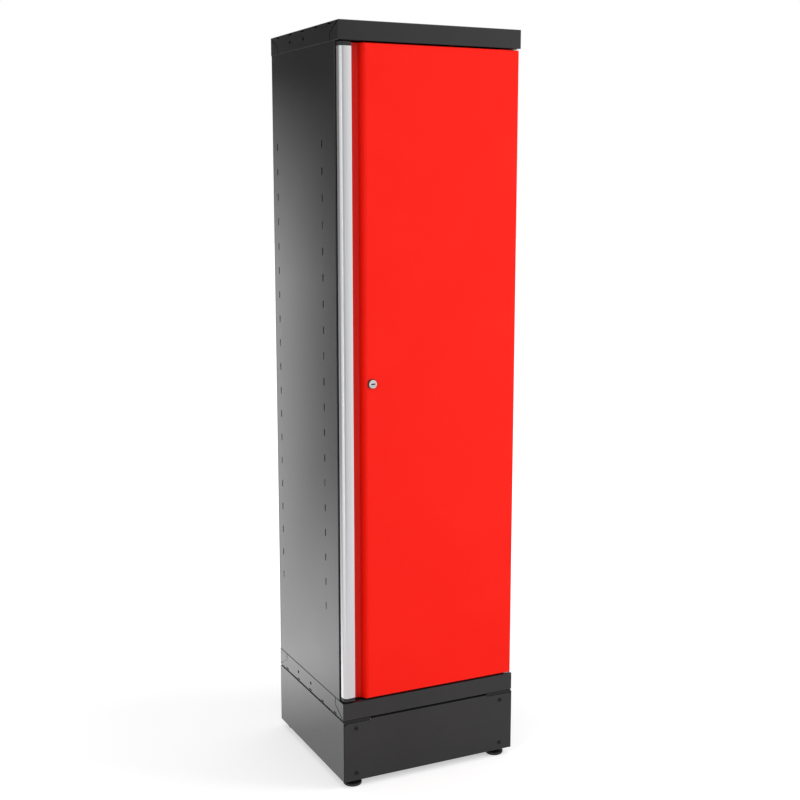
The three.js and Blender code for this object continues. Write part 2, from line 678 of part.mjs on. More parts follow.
// Handle end cap with a spigot inside the profile; `end` is the door's edge, `sense` points inwards.
function handleCap(end, sense) {
  const shape = new THREE.Shape();
  shape.moveTo(HANDLE_LEFT, HANDLE_REAR);
  drawHandleFront(shape, 0, false);
  shape.lineTo(HANDLE_RIGHT, HANDLE_REAR);
  shape.closePath();
  const inner = end + sense * HANDLE_CAP_HEIGHT;
  const tip = inner + sense * HANDLE_SPIGOT_LENGTH;
  const corner = HANDLE_WALL + (HANDLE_CORNER - HANDLE_WALL) * (1 - Math.SQRT1_2) + FIT_GAP;
  const spigot = block(
    [HANDLE_LEFT + corner, HANDLE_LEFT + HANDLE_FOOT],
    [HANDLE_FRONT + corner, HANDLE_REAR - HANDLE_WALL - FIT_GAP],
    [end, tip],
  );
  const span = [Math.min(end, inner), Math.max(end, inner)];
  return joined([uprightSection(cornersOf(shape), span), spigot]);
}

// Lower pivot pin: its head lies inside the door on the bottom return, its shank points down.
// The upper pin is the same piece upside down.
function pivotPin() {
  const seat = DOOR_BOTTOM + SHEET + FIT_GAP;
  const tip = TRAY_TOP - SHEET - BUSH_LENGTH;
  const shank = PIN_DIAMETER / 2;
  const head = PIN_HEAD_DIAMETER / 2;
  return turnedUpright([
    [0, tip],
    [shank, tip],
    [shank, seat],
    [head, seat],
    [head, seat + PIN_HEAD_HEIGHT],
    [0, seat + PIN_HEAD_HEIGHT],
  ], HINGE_X, HINGE_SETBACK);
}

// Lower hinge bush: its flange lies on the tray's lip, its sleeve passes down through it.
function hingeBush() {
  const seat = TRAY_TOP + FIT_GAP;
  const bore = BUSH_BORE / 2;
  const outer = BUSH_OUTER / 2;
  const flange = BUSH_FLANGE_DIAMETER / 2;
  const low = TRAY_TOP - SHEET - BUSH_LENGTH;
  return turnedUpright([
    [bore, low],
    [outer, low],
    [outer, seat],
    [flange, seat],
    [flange, seat + BUSH_FLANGE_HEIGHT],
    [bore, seat + BUSH_FLANGE_HEIGHT],
    [bore, low],
  ], HINGE_X, HINGE_SETBACK);
}

// Thrust washer that fills the gap between the lower bush and the door.
function thrustWasher() {
  const low = TRAY_TOP + FIT_GAP + BUSH_FLANGE_HEIGHT + FIT_GAP;
  const high = DOOR_BOTTOM - FIT_GAP;
  const disc = rodUpright(BUSH_FLANGE_DIAMETER, HINGE_X, HINGE_SETBACK, [low, high]);
  const bore = rodUpright(BUSH_BORE, HINGE_X, HINGE_SETBACK, [low - SHEET, high + SHEET]);
  return disc.subtract(bore);
}

// A hinge piece of the bottom tray, turned over for the top cap.
function turnedOver(solid) {
  return solid.mirror([0, 0, 1]).translate([0, 0, TRAY_BOTTOM + HEIGHT]);
}

function doorBuffer(z) {
  return rodAcross(BUFFER_DIAMETER, BUFFER_INSET, z, [DOOR_REAR + FIT_GAP, PANEL_SETBACK - FIT_GAP]);
}

const LOCK_BORE = PLUG_DIAMETER + LOCK_PLAY;
const BARREL_END = CAM_FRONT - FIT_GAP;

function lockHousing() {
  const seat = DOOR_SETBACK - FIT_GAP;
  const head = LOCK_HEAD_DIAMETER / 2;
  const barrel = LOCK_BARREL_DIAMETER / 2;
  const bore = LOCK_BORE / 2;
  return turnedAcross([
    [bore, LOCK_FACE],
    [head - LOCK_HEAD_CHAMFER, LOCK_FACE],
    [head, LOCK_FACE + LOCK_HEAD_CHAMFER],
    [head, seat],
    [barrel, seat],
    [barrel, BARREL_END],
    [bore, BARREL_END],
    [bore, LOCK_FACE],
  ], LOCK_INSET, LOCK_Z);
}

function lockNut() {
  const front = DOOR_SETBACK + SHEET + FIT_GAP;
  const rear = front + LOCK_NUT_HEIGHT;
  const body = hexagonAcross(LOCK_NUT_ACROSS_FLATS, LOCK_INSET, LOCK_Z, [front, rear]);
  return body.subtract(lockHole([front - SHEET, rear + SHEET]));
}

// Plug with its keyway in front, a square for the cam and a screw hole behind.
function lockPlug() {
  const front = LOCK_FACE + PLUG_RECESS;
  const half = CAM_SQUARE / 2;
  const square = block(
    [LOCK_INSET - half, LOCK_INSET + half],
    [BARREL_END - FIT_GAP, CAM_REAR],
    [LOCK_Z - half, LOCK_Z + half],
  );
  const keyway = block(
    [LOCK_INSET - KEYWAY_LENGTH / 2, LOCK_INSET + KEYWAY_LENGTH / 2],
    [front - SHEET, front + KEYWAY_DEPTH],
    [LOCK_Z - KEYWAY_WIDTH / 2, LOCK_Z + KEYWAY_WIDTH / 2],
  );
  const whole = joined([rodAcross(PLUG_DIAMETER, LOCK_INSET, LOCK_Z, [front, BARREL_END]), square]);
  const screwHole = rodAcross(CAM_SCREW_DIAMETER + FIT_GAP, LOCK_INSET, LOCK_Z, [
    CAM_REAR - CAM_SCREW_LENGTH,
    CAM_REAR + SHEET,
  ]);
  return cut(whole, [keyway, screwHole]);
}

// Cam: a flat tongue that hangs down when the door is free to open.
function lockCam() {
  const half = CAM_WIDTH / 2;
  const shape = new THREE.Shape();
  shape.moveTo(LOCK_INSET + half, LOCK_Z);
  shape.absarc(LOCK_INSET, LOCK_Z, half, 0, Math.PI, false);
  shape.lineTo(LOCK_INSET - half, LOCK_Z - CAM_LENGTH);
  shape.lineTo(LOCK_INSET + half, LOCK_Z - CAM_LENGTH);
  shape.closePath();
  const eye = CAM_SQUARE / 2 + FIT_GAP;
  const hole = block(
    [LOCK_INSET - eye, LOCK_INSET + eye],
    [CAM_FRONT - SHEET, CAM_REAR + SHEET],
    [LOCK_Z - eye, LOCK_Z + eye],
  );
  return depthSection(cornersOf(shape), [CAM_FRONT, CAM_REAR]).subtract(hole);
}

function camScrew() {
  const seat = CAM_REAR + FIT_GAP;
  const shank = rodAcross(CAM_SCREW_DIAMETER - FIT_GAP, LOCK_INSET, LOCK_Z, [
    seat - CAM_SCREW_LENGTH + 2 * FIT_GAP,
    seat + CAM_SCREW_HEAD_HEIGHT,
  ]);
  return joined([
    shank,
    rodAcross(CAM_SCREW_HEAD, LOCK_INSET, LOCK_Z, [seat, seat + CAM_SCREW_HEAD_HEIGHT]),
  ]);
}

const carcass = new THREE.Group();
addPiece(carcass, "top_cap", foldedTray(HEIGHT, -1), GRAPHITE_PAINT);
addPiece(carcass, "bottom_tray", foldedTray(TRAY_BOTTOM, 1), GRAPHITE_PAINT);
addPiece(carcass, "left_side_panel", sidePanel(), GRAPHITE_PAINT);
addPiece(carcass, "right_side_panel", mirrored(sidePanel()), GRAPHITE_PAINT);
const backSheet = block([NEST, WIDTH - NEST], [BACK_REAR - SHEET, BACK_REAR], [PANEL_BOTTOM, PANEL_TOP]);
addPiece(carcass, "back_panel", backSheet, GRAPHITE_PAINT);
SHELF_SLOT_INDICES.forEach((slot, i) => {
  addPiece(carcass, `shelf_${i + 1}`, shelf(slot), GRAPHITE_PAINT);
  addPiece(carcass, `shelf_rail_${i + 1}_left`, shelfRail(slot), BLACK_STEEL);
  addPiece(carcass, `shelf_rail_${i + 1}_right`, mirrored(shelfRail(slot)), BLACK_STEEL);
});
addPiece(carcass, "hinge_bush_bottom", hingeBush(), GREY_NYLON);
addPiece(carcass, "hinge_bush_top", turnedOver(hingeBush()), GREY_NYLON);
addPiece(carcass, "hinge_thrust_washer", thrustWasher(), ZINC_PLATE);
addPiece(carcass, "door_buffer_lower", doorBuffer(DOOR_BOTTOM + BUFFER_END_SPACE), BLACK_RUBBER);
addPiece(carcass, "door_buffer_upper", doorBuffer(DOOR_TOP - BUFFER_END_SPACE), BLACK_RUBBER);

const plinth = new THREE.Group();
const bracket = footBracket();
const frontBracket = cut(bracket.body, bracket.screwHoles);
const frontHoles = [...bracket.screwHoles, ...bracket.screwHoles.map(mirrored)];
const clearedHoles = frontHoles.map((hole) => hole.translate([0, -SHEET, 0]));
addPiece(plinth, "plinth_front_panel", plinthEndPanel(clearedHoles), GRAPHITE_PAINT);
addPiece(plinth, "plinth_rear_panel", rearward(plinthEndPanel([])), GRAPHITE_PAINT);
addPiece(plinth, "plinth_left_side", plinthSide(), GRAPHITE_PAINT);
addPiece(plinth, "plinth_right_side", mirrored(plinthSide()), GRAPHITE_PAINT);
addPiece(plinth, "foot_bracket_front_left", frontBracket, BLACK_STEEL);
addPiece(plinth, "foot_bracket_front_right", mirrored(frontBracket), BLACK_STEEL);
addPiece(plinth, "foot_bracket_rear_left", rearward(bracket.body), BLACK_STEEL);
addPiece(plinth, "foot_bracket_rear_right", rearward(mirrored(bracket.body)), BLACK_STEEL);
const SCREW_PLACES = { left: SCREW_INSET, right: WIDTH - SCREW_INSET };
for (const [side, x] of Object.entries(SCREW_PLACES)) {
  addPiece(plinth, `plinth_screw_lower_${side}`, plinthScrew(x, SCREW_LEVELS[0]), BLACK_STEEL);
  addPiece(plinth, `plinth_screw_upper_${side}`, plinthScrew(x, SCREW_LEVELS[1]), BLACK_STEEL);
}

const feet = new THREE.Group();
const FOOT_SIDES = { left: FOOT_INSET_SIDE, right: WIDTH - FOOT_INSET_SIDE };
const FOOT_ENDS = { front: FOOT_INSET_END, rear: DEPTH - FOOT_INSET_END };
for (const [end, y] of Object.entries(FOOT_ENDS)) {
  for (const [side, x] of Object.entries(FOOT_SIDES)) {
    addPiece(plinth, `foot_nut_${end}_${side}`, footNut(x, y), ZINC_PLATE);
    addPiece(feet, `foot_stud_${end}_${side}`, footStud(x, y), ZINC_PLATE);
    addPiece(feet, `foot_pad_${end}_${side}`, footPad(x, y), BLACK_PLASTIC);
  }
}

const door = new THREE.Group();
addPiece(door, "door_skin", doorSkin(), RED_PAINT);
addPiece(door, "door_liner", doorLiner(), RED_PAINT);
addPiece(door, "handle_profile", handleProfile(), SATIN_ALUMINIUM);
addPiece(door, "handle_cap_bottom", handleCap(DOOR_BOTTOM, 1), BLACK_PLASTIC);
addPiece(door, "handle_cap_top", handleCap(DOOR_TOP, -1), BLACK_PLASTIC);
addPiece(door, "hinge_pin_bottom", pivotPin(), ZINC_PLATE);
addPiece(door, "hinge_pin_top", turnedOver(pivotPin()), ZINC_PLATE);
addPiece(door, "lock_housing", lockHousing(), CHROME);
addPiece(door, "lock_nut", lockNut(), ZINC_PLATE);

const lock = new THREE.Group();
addPiece(lock, "lock_plug", lockPlug(), CHROME);
addPiece(lock, "lock_cam", lockCam(), ZINC_PLATE);
addPiece(lock, "cam_screw", camScrew(), ZINC_PLATE);

const locker = new THREE.Group();
locker.add(carcass, plinth, feet, door, lock);
locker.position.set(-WIDTH / 2, -(LOCK_FACE + DEPTH) / 2, 0);

export default locker;
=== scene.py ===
# %% [markdown]
# # A tall steel workshop locker
#
# The locker is folded from thin steel sheet: a dark grey carcass on a plinth, one red door, and an
# aluminium handle profile along the door's left edge. The solids are loaded first and stay where they
# are. Every piece that shows is then modelled again over its solid, with the rounded folds, slots,
# seams and finishes that the eye expects of sheet metal.

import json
import math
from contextlib import contextmanager

import bmesh
import bpy
import mathutils
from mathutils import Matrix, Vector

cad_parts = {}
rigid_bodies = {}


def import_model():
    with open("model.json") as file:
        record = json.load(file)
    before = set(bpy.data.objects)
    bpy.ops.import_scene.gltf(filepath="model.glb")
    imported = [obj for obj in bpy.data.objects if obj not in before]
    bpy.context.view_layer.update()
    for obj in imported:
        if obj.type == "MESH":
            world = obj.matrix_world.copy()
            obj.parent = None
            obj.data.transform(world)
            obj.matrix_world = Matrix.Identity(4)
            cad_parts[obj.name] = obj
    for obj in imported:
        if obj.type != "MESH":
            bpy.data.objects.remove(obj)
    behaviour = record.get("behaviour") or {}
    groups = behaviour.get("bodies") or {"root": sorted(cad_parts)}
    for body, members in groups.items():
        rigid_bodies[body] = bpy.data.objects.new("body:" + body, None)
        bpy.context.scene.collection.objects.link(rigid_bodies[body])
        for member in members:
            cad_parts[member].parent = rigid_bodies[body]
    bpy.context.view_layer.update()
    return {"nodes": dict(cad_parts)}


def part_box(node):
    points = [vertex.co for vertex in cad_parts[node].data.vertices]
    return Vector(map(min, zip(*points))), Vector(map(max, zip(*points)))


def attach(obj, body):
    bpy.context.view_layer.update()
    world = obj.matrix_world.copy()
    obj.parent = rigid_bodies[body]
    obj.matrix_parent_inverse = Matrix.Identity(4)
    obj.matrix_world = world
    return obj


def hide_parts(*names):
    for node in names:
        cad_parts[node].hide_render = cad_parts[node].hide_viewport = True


bpy.ops.object.select_all(action="SELECT")
bpy.ops.object.delete()
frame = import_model()
print("solids loaded:", len(frame["nodes"]))

# %% [markdown]
# ## Tools for working by hand
#
# The locker's sizes are written in millimetres, as on a workshop drawing, and turned to metres by the
# helpers. A piece starts as a cube between two corners. Faces and edges are then picked by where they
# lie, and Blender's own edit operators do the rest, as they would in the window.

# %% Helpers for sizes, blocks and picking
X, Y, Z = 0, 1, 2
NEAR, FACING = 0.05, 0.9


def metres(values):
    return tuple(value / 1000 for value in values)


def box_of(node):
    low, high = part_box(node)
    return [value * 1000 for value in low], [value * 1000 for value in high]


def select_only(*pieces):
    bpy.ops.object.select_all(action="DESELECT")
    for piece in pieces:
        piece.select_set(True)
    bpy.context.view_layer.objects.active = pieces[0]


def block(name, low, high):
    bpy.ops.object.select_all(action="DESELECT")
    middle = [(a + b) / 2 for a, b in zip(low, high)]
    bpy.ops.mesh.primitive_cube_add(size=1, location=metres(middle))
    piece = bpy.context.object
    piece.name = name
    piece.scale = metres(b - a for a, b in zip(low, high))
    bpy.ops.object.transform_apply(location=True, rotation=True, scale=True)
    return piece


@contextmanager
def editing(piece, mode):
    select_only(piece)
    bpy.ops.object.mode_set(mode="EDIT")
    bpy.ops.mesh.select_mode(type=mode)
    bpy.ops.mesh.select_all(action="DESELECT")
    yield bmesh.from_edit_mesh(piece.data)
    bpy.ops.object.mode_set(mode="OBJECT")


def pick(mesh, elements, test):
    for element in elements:
        if test(element):
            element.select_set(True)
    mesh.select_flush_mode()


def at(axis, value):
    """A test for edges, faces and vertices that lie wholly on one plane."""

    def lies_there(element):
        corners = getattr(element, "verts", [element])
        return all(abs(corner.co[axis] * 1000 - value) < NEAR for corner in corners)

    return lies_there


print("helpers ready")

# %% [markdown]
# A folded sheet has round folds and a thin wall. The folds are bevels on chosen edges of a closed box.
# The box is then opened and given its wall with a Solidify modifier that grows inwards, so that the
# outside keeps its size. Holes are cut last, with a Boolean modifier, because a bevel after a cut
# would stumble over the hole's many edges. A cutter overshoots the sheet on both sides.

# %% Helpers for folding, opening, thickening and cutting
SHEET = 1.2
FOLD_RADIUS = 2.2
FOLD_STEPS = 4
SHARP_ANGLE = math.radians(35)
OVERSHOOT = 4


def fold(piece, radius, test, steps=FOLD_STEPS):
    with editing(piece, "EDGE") as mesh:
        pick(mesh, mesh.edges, test)
        bpy.ops.mesh.bevel(offset=radius / 1000, segments=steps, affect="EDGES")


def remove_faces(piece, test):
    with editing(piece, "FACE") as mesh:
        pick(mesh, mesh.faces, test)
        bpy.ops.mesh.delete(type="FACE")


def move_corners(piece, test, step):
    with editing(piece, "VERT") as mesh:
        pick(mesh, mesh.verts, test)
        bpy.ops.transform.translate(value=metres(step))


def extrude_edges(piece, test, step):
    with editing(piece, "EDGE") as mesh:
        pick(mesh, mesh.edges, test)
        bpy.ops.mesh.extrude_region_move(TRANSFORM_OT_translate={"value": metres(step)})


def apply_modifier(piece, kind, **settings):
    select_only(piece)
    modifier = piece.modifiers.new(kind.title(), kind)
    for key, value in settings.items():
        setattr(modifier, key, value)
    bpy.ops.object.modifier_apply(modifier=modifier.name)


def thicken(piece, wall, even=True):
    apply_modifier(piece, "SOLIDIFY", thickness=wall / 1000, offset=-1, use_even_offset=even)


def soften(piece, radius, steps=2):
    apply_modifier(piece, "BEVEL", width=radius / 1000, segments=steps, limit_method="ANGLE",
                   angle_limit=SHARP_ANGLE)


def join(pieces):
    select_only(*pieces)
    bpy.ops.object.join()
    return pieces[0]


def cut_out(piece, cutters):
    cutter = join(cutters)
    apply_modifier(piece, "BOOLEAN", operation="DIFFERENCE", object=cutter, solver="EXACT",
                   use_self=True)
    bpy.data.objects.remove(cutter)


def copy_of(piece, name, step=(0, 0, 0)):
    select_only(piece)
    bpy.ops.object.duplicate()
    twin = bpy.context.object
    twin.name = name
    twin.location = metres(step)
    bpy.ops.object.transform_apply(location=True, rotation=False, scale=False)
    return twin


def mirror_image(piece, name, axis, plane):
    """A copy on the other side of a plane, with its faces turned outwards again."""
    twin = copy_of(piece, name)
    scale = [1, 1, 1]
    scale[axis] = -1
    twin.scale = scale
    twin.location[axis] = 2 * plane / 1000
    bpy.ops.object.transform_apply(location=True, rotation=False, scale=True)
    with editing(twin, "FACE"):
        bpy.ops.mesh.select_all(action="SELECT")
        bpy.ops.mesh.normals_make_consistent(inside=False)
    return twin


TURNS = {X: (0, math.pi / 2, 0), Y: (math.pi / 2, 0, 0), Z: (0, 0, 0)}


def rod(name, axis, diameter, low, high, place, sides=48):
    """A cylinder along one axis; place gives its middle on the other two axes."""
    bpy.ops.object.select_all(action="DESELECT")
    middle = list(place)
    middle.insert(axis, (low + high) / 2)
    bpy.ops.mesh.primitive_cylinder_add(vertices=sides, radius=diameter / 2000,
                                        depth=(high - low) / 1000, location=metres(middle),
                                        rotation=TURNS[axis])
    piece = bpy.context.object
    piece.name = name
    bpy.ops.object.transform_apply(location=True, rotation=True, scale=True)
    return piece


print("sheet", SHEET, "mm, folds", FOLD_RADIUS, "mm")

# %% [markdown]
# ## Finishes
#
# Each finish is a small node tree around one Principled shader. Colours are written as the hex values
# a colour picker shows, and one function turns them to linear light. Patterns are measured in
# millimetres: a noise of scale 1000 / n has features about n mm apart on Object coordinates.

# %% Helpers for materials
def linear(hex_code):
    channels = [int(hex_code[i:i + 2], 16) / 255 for i in (1, 3, 5)]
    return [c / 12.92 if c <= 0.04045 else ((c + 0.055) / 1.055) ** 2.4 for c in channels] + [1.0]


def add_node(tree, kind, sockets=None, **settings):
    node = tree.nodes.new(kind)
    for key, value in settings.items():
        setattr(node, key, value)
    for key, value in (sockets or {}).items():
        if isinstance(value, bpy.types.NodeSocket):
            tree.links.new(value, node.inputs[key])
        else:
            node.inputs[key].default_value = value
    return node


def new_finish(name):
    material = bpy.data.materials.new(name)
    material.use_nodes = True
    tree = material.node_tree
    shader = tree.nodes["Principled BSDF"]
    place = add_node(tree, "ShaderNodeTexCoord").outputs["Object"]
    return material, tree, shader, place


NOISE_LOW, NOISE_HIGH = 0.3, 0.7
finishes = {}
print("material helpers ready")

# %% [markdown]
# **Powder coat on steel.** The powder melts to a tough skin with a faint orange peel and a soft gloss.
# The eye reads it as one even colour with slightly uneven highlights. A fine noise bumps the skin, a
# wide one shifts its gloss, and a still wider one its tone. Real orange peel has waves of 1 to 2 mm;
# they are drawn 5 mm apart so that they survive in a picture of the whole locker.

# %% Powder coats, grey and red
ORANGE_PEEL = 5
GLOSS_DRIFT = 60
TONE_DRIFT = 220


def powder_coat(name, dark, light, gloss, specular):
    material, tree, shader, place = new_finish(name)
    peel = add_node(tree, "ShaderNodeTexNoise", {"Vector": place, "Scale": 1000 / ORANGE_PEEL,
                                                 "Detail": 2.0})
    drift = add_node(tree, "ShaderNodeTexNoise", {"Vector": place, "Scale": 1000 / GLOSS_DRIFT,
                                                  "Detail": 3.0})
    tone = add_node(tree, "ShaderNodeTexNoise", {"Vector": place, "Scale": 1000 / TONE_DRIFT,
                                                 "Detail": 2.0})
    tint = add_node(tree, "ShaderNodeValToRGB", {"Fac": tone.outputs["Fac"]})
    tint.color_ramp.elements[0].position = NOISE_LOW
    tint.color_ramp.elements[0].color = linear(dark)
    tint.color_ramp.elements[1].position = NOISE_HIGH
    tint.color_ramp.elements[1].color = linear(light)
    spread = add_node(tree, "ShaderNodeMapRange", {"Value": drift.outputs["Fac"],
                                                   "From Min": NOISE_LOW,
                                                   "From Max": NOISE_HIGH, "To Min": gloss[0],
                                                   "To Max": gloss[1]})
    skin = add_node(tree, "ShaderNodeBump", {"Height": peel.outputs["Fac"], "Strength": 0.03,
                                             "Distance": 0.0002})
    tree.links.new(tint.outputs["Color"], shader.inputs["Base Color"])
    tree.links.new(spread.outputs["Result"], shader.inputs["Roughness"])
    tree.links.new(skin.outputs["Normal"], shader.inputs["Normal"])
    shader.inputs["IOR"].default_value = 1.5
    shader.inputs["Specular IOR Level"].default_value = specular
    finishes[name] = material
    return material


graphite_coat = powder_coat("graphite_powder_coat", "#242425", "#29292a", (0.245, 0.265), 0.35)
red_coat = powder_coat("red_powder_coat", "#fb1606", "#ff1a08", (0.34, 0.42), 0.14)
print("powder coats:", graphite_coat.name, red_coat.name)

# %% [markdown]
# **Satin anodised aluminium.** The handle is extruded, lightly brushed along its length and anodised.
# The die leaves faint lines from end to end, so the noise is squeezed across the profile and stretched
# two hundred times along it. The lines shift the gloss and barely the height.

# %% Satin anodised aluminium
EXTRUSION_LINE = 1.6
LINE_STRETCH = 200


def satin_aluminium():
    material, tree, shader, place = new_finish("satin_anodised_aluminium")
    stretched = add_node(tree, "ShaderNodeMapping", {"Vector": place, "Scale": (
        1000 / EXTRUSION_LINE, 1000 / EXTRUSION_LINE, 1000 / (EXTRUSION_LINE * LINE_STRETCH))})
    lines = add_node(tree, "ShaderNodeTexNoise", {"Vector": stretched.outputs["Vector"],
                                                  "Scale": 1.0, "Detail": 3.0})
    spread = add_node(tree, "ShaderNodeMapRange", {"Value": lines.outputs["Fac"],
                                                   "From Min": NOISE_LOW,
                                                   "From Max": NOISE_HIGH, "To Min": 0.26,
                                                   "To Max": 0.38})
    tint = add_node(tree, "ShaderNodeValToRGB", {"Fac": lines.outputs["Fac"]})
    tint.color_ramp.elements[0].color = linear("#c6c7c9")
    tint.color_ramp.elements[1].color = linear("#e2e2e4")
    skin = add_node(tree, "ShaderNodeBump", {"Height": lines.outputs["Fac"], "Strength": 0.05,
                                             "Distance": 0.0002})
    tree.links.new(tint.outputs["Color"], shader.inputs["Base Color"])
    tree.links.new(spread.outputs["Result"], shader.inputs["Roughness"])
    tree.links.new(skin.outputs["Normal"], shader.inputs["Normal"])
    shader.inputs["Metallic"].default_value = 1.0
    finishes[material.name] = material
    return material


aluminium = satin_aluminium()
print("metal:", aluminium.name)

# %% [markdown]
# **Small parts.** Zinc plate is a thin silvery layer with a crystal-like cloudiness. Chrome is nearly a
# mirror, blackened steel a dull dark one. Moulded plastic, rubber and nylon take the fine grain of
# their mould. They all share one tree: a grain for the bump and a cloud that shifts tone and gloss.

# %% Plated, moulded and blackened finishes
def small_part(name, dark, light, gloss, grain, relief, metallic=0.0):
    material, tree, shader, place = new_finish(name)
    cloud = add_node(tree, "ShaderNodeTexNoise", {"Vector": place, "Scale": 1000 / (6 * grain),
                                                  "Detail": 3.0})
    grit = add_node(tree, "ShaderNodeTexNoise", {"Vector": place, "Scale": 1000 / grain,
                                                 "Detail": 2.0})
    tint = add_node(tree, "ShaderNodeValToRGB", {"Fac": cloud.outputs["Fac"]})
    tint.color_ramp.elements[0].position = NOISE_LOW
    tint.color_ramp.elements[0].color = linear(dark)
    tint.color_ramp.elements[1].position = NOISE_HIGH
    tint.color_ramp.elements[1].color = linear(light)
    spread = add_node(tree, "ShaderNodeMapRange", {"Value": cloud.outputs["Fac"],
                                                   "From Min": NOISE_LOW,
                                                   "From Max": NOISE_HIGH, "To Min": gloss[0],
                                                   "To Max": gloss[1]})
    skin = add_node(tree, "ShaderNodeBump", {"Height": grit.outputs["Fac"], "Strength": relief,
                                             "Distance": grain / 10000})
    tree.links.new(tint.outputs["Color"], shader.inputs["Base Color"])
    tree.links.new(spread.outputs["Result"], shader.inputs["Roughness"])
    tree.links.new(skin.outputs["Normal"], shader.inputs["Normal"])
    shader.inputs["Metallic"].default_value = metallic
    finishes[name] = material
    return material


plastic = small_part("moulded_black_polyamide", "#101011", "#18181a", (0.42, 0.52), 0.8, 0.25)
rubber = small_part("moulded_black_rubber", "#0d0d0d", "#151515", (0.7, 0.85), 0.8, 0.3)
nylon = small_part("turned_grey_nylon", "#6f6d68", "#7d7b76", (0.45, 0.6), 0.8, 0.15)
zinc = small_part("zinc_plated_steel", "#a3a6aa", "#c3c5c7", (0.25, 0.42), 1.5, 0.1, 1.0)
chrome = small_part("chrome_plated_zinc", "#dadbdc", "#ececec", (0.08, 0.14), 1.5, 0.02, 1.0)
black_steel = small_part("blackened_steel", "#161617", "#222223", (0.35, 0.48), 1.0, 0.1, 0.6)
# Near-black coat for the rails and foot brackets: painted shade, so the slots and the gap under the tray
# look dark.
shade_black_coat = small_part("painted_shade_black", "#080808", "#0e0e0e", (0.6, 0.75), 0.8, 0.1)
print("small finishes:", sorted(finishes))

# %% [markdown]
# ## Finishing a piece
#
# A finished piece gets its material, smooth shading up to 30 degrees and weighted normals, so that the
# wide flat faces stay flat beside the round folds. It then rides on its body and takes the place of
# its solid.

# %% Helper that finishes a piece
SMOOTH_ANGLE = math.radians(30)


def finish(piece, finish_material, body, *nodes):
    select_only(piece)
    piece.data.materials.clear()
    piece.data.materials.append(finish_material)
    bpy.ops.object.shade_smooth_by_angle(angle=SMOOTH_ANGLE)
    apply_modifier(piece, "WEIGHTED_NORMAL", keep_sharp=True)
    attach(piece, body)
    if nodes:
        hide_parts(*nodes)
    print(piece.name, len(piece.data.polygons), "faces")


# %% [markdown]
# ## Top cap and bottom tray
#
# One pressing serves twice: as the cap and, turned over, as the tray under the door. It is a shallow
# box of folded sheet with an inward lip at the front. A cube is rounded along its folds, opened below,
# given its lip by extruding the front edge, and thickened. Its side walls' free edges are rounded.

# %% Fold the cap
cap_low, cap_high = box_of("top_cap")
LIP, LIP_RADIUS, EDGE_RADIUS = 24, 1.0, 1.0
cap = block("cap_pressing", cap_low, cap_high)
fold(cap, FOLD_RADIUS, lambda edge: not at(Z, cap_low[Z])(edge))
remove_faces(cap, at(Z, cap_low[Z]))
extrude_edges(cap, lambda edge: at(Z, cap_low[Z])(edge) and at(Y, cap_low[Y])(edge), (0, LIP, 0))
fold(cap, LIP_RADIUS, lambda edge: at(Z, cap_low[Z])(edge) and at(Y, cap_low[Y])(edge), 2)
thicken(cap, SHEET, even=False)
fold(cap, EDGE_RADIUS, lambda edge: at(Z, cap_low[Z])(edge) and
     any(at(X, side)(edge) for side in (cap_low[X], cap_high[X])), 3)
print("cap", [round(b - a, 1) for a, b in zip(cap_low, cap_high)], "mm")

# %% [markdown]
# The side walls carry two bolt holes for joining units, five short slots in the fold, and the seams
# where the corner tabs meet the wall: straight in from the free edge, then slanting to the corner.
# All cutters of one side are made first and mirrored to the other. A seam is a thin box, turned about
# the X axis for its slanting part.

# %% Cut the cap's holes, slots and seams
HOLE_DIAMETER, HOLE_FRONT, HOLE_PITCH, HOLE_HEIGHT, HOLE_COUNT = 9.5, 231, 94, 25, 2
SLOT_LENGTH, SLOT_WIDTH, SLOT_HEIGHT, SLOT_FRONT, SLOT_PITCH, SLOT_COUNT = 19, 3.6, 5, 56, 89, 5
SEAM_WIDTH, SEAM_DEPTH, SEAM_END, TAB_LENGTH, SEAM_RISE = 3.2, 2.5, 5, 54, 19
PIN_HOLE, HOLE_SIDES = 11.3, 32
wall_span = (cap_low[X] - OVERSHOOT, cap_low[X] + OVERSHOOT)
seam_span = (cap_low[X] - OVERSHOOT, cap_low[X] + SEAM_DEPTH)


def seam_cutters(sense, corner):
    """The straight and the slanting groove of one corner tab; sense is +1 at the front."""
    knee = cap_low[Z] + SEAM_RISE
    turn_y = corner + sense * TAB_LENGTH
    straight = block("seam", (seam_span[0], turn_y - SEAM_WIDTH / 2, cap_low[Z] - OVERSHOOT),
                     (seam_span[1], turn_y + SEAM_WIDTH / 2, knee))
    rise = cap_high[Z] - knee
    length = math.hypot(TAB_LENGTH, rise)
    slanting = block("seam", (seam_span[0], SEAM_END - length, -SEAM_WIDTH / 2),
                     (seam_span[1], 0, SEAM_WIDTH / 2))
    if sense < 0:
        move_corners(slanting, lambda vertex: True, (0, length - SEAM_END, 0))
    slanting.rotation_euler = (-sense * math.atan2(rise, TAB_LENGTH), 0, 0)
    slanting.location = metres((0, turn_y, knee))
    bpy.ops.object.transform_apply(location=True, rotation=True, scale=True)
    return [straight, slanting]


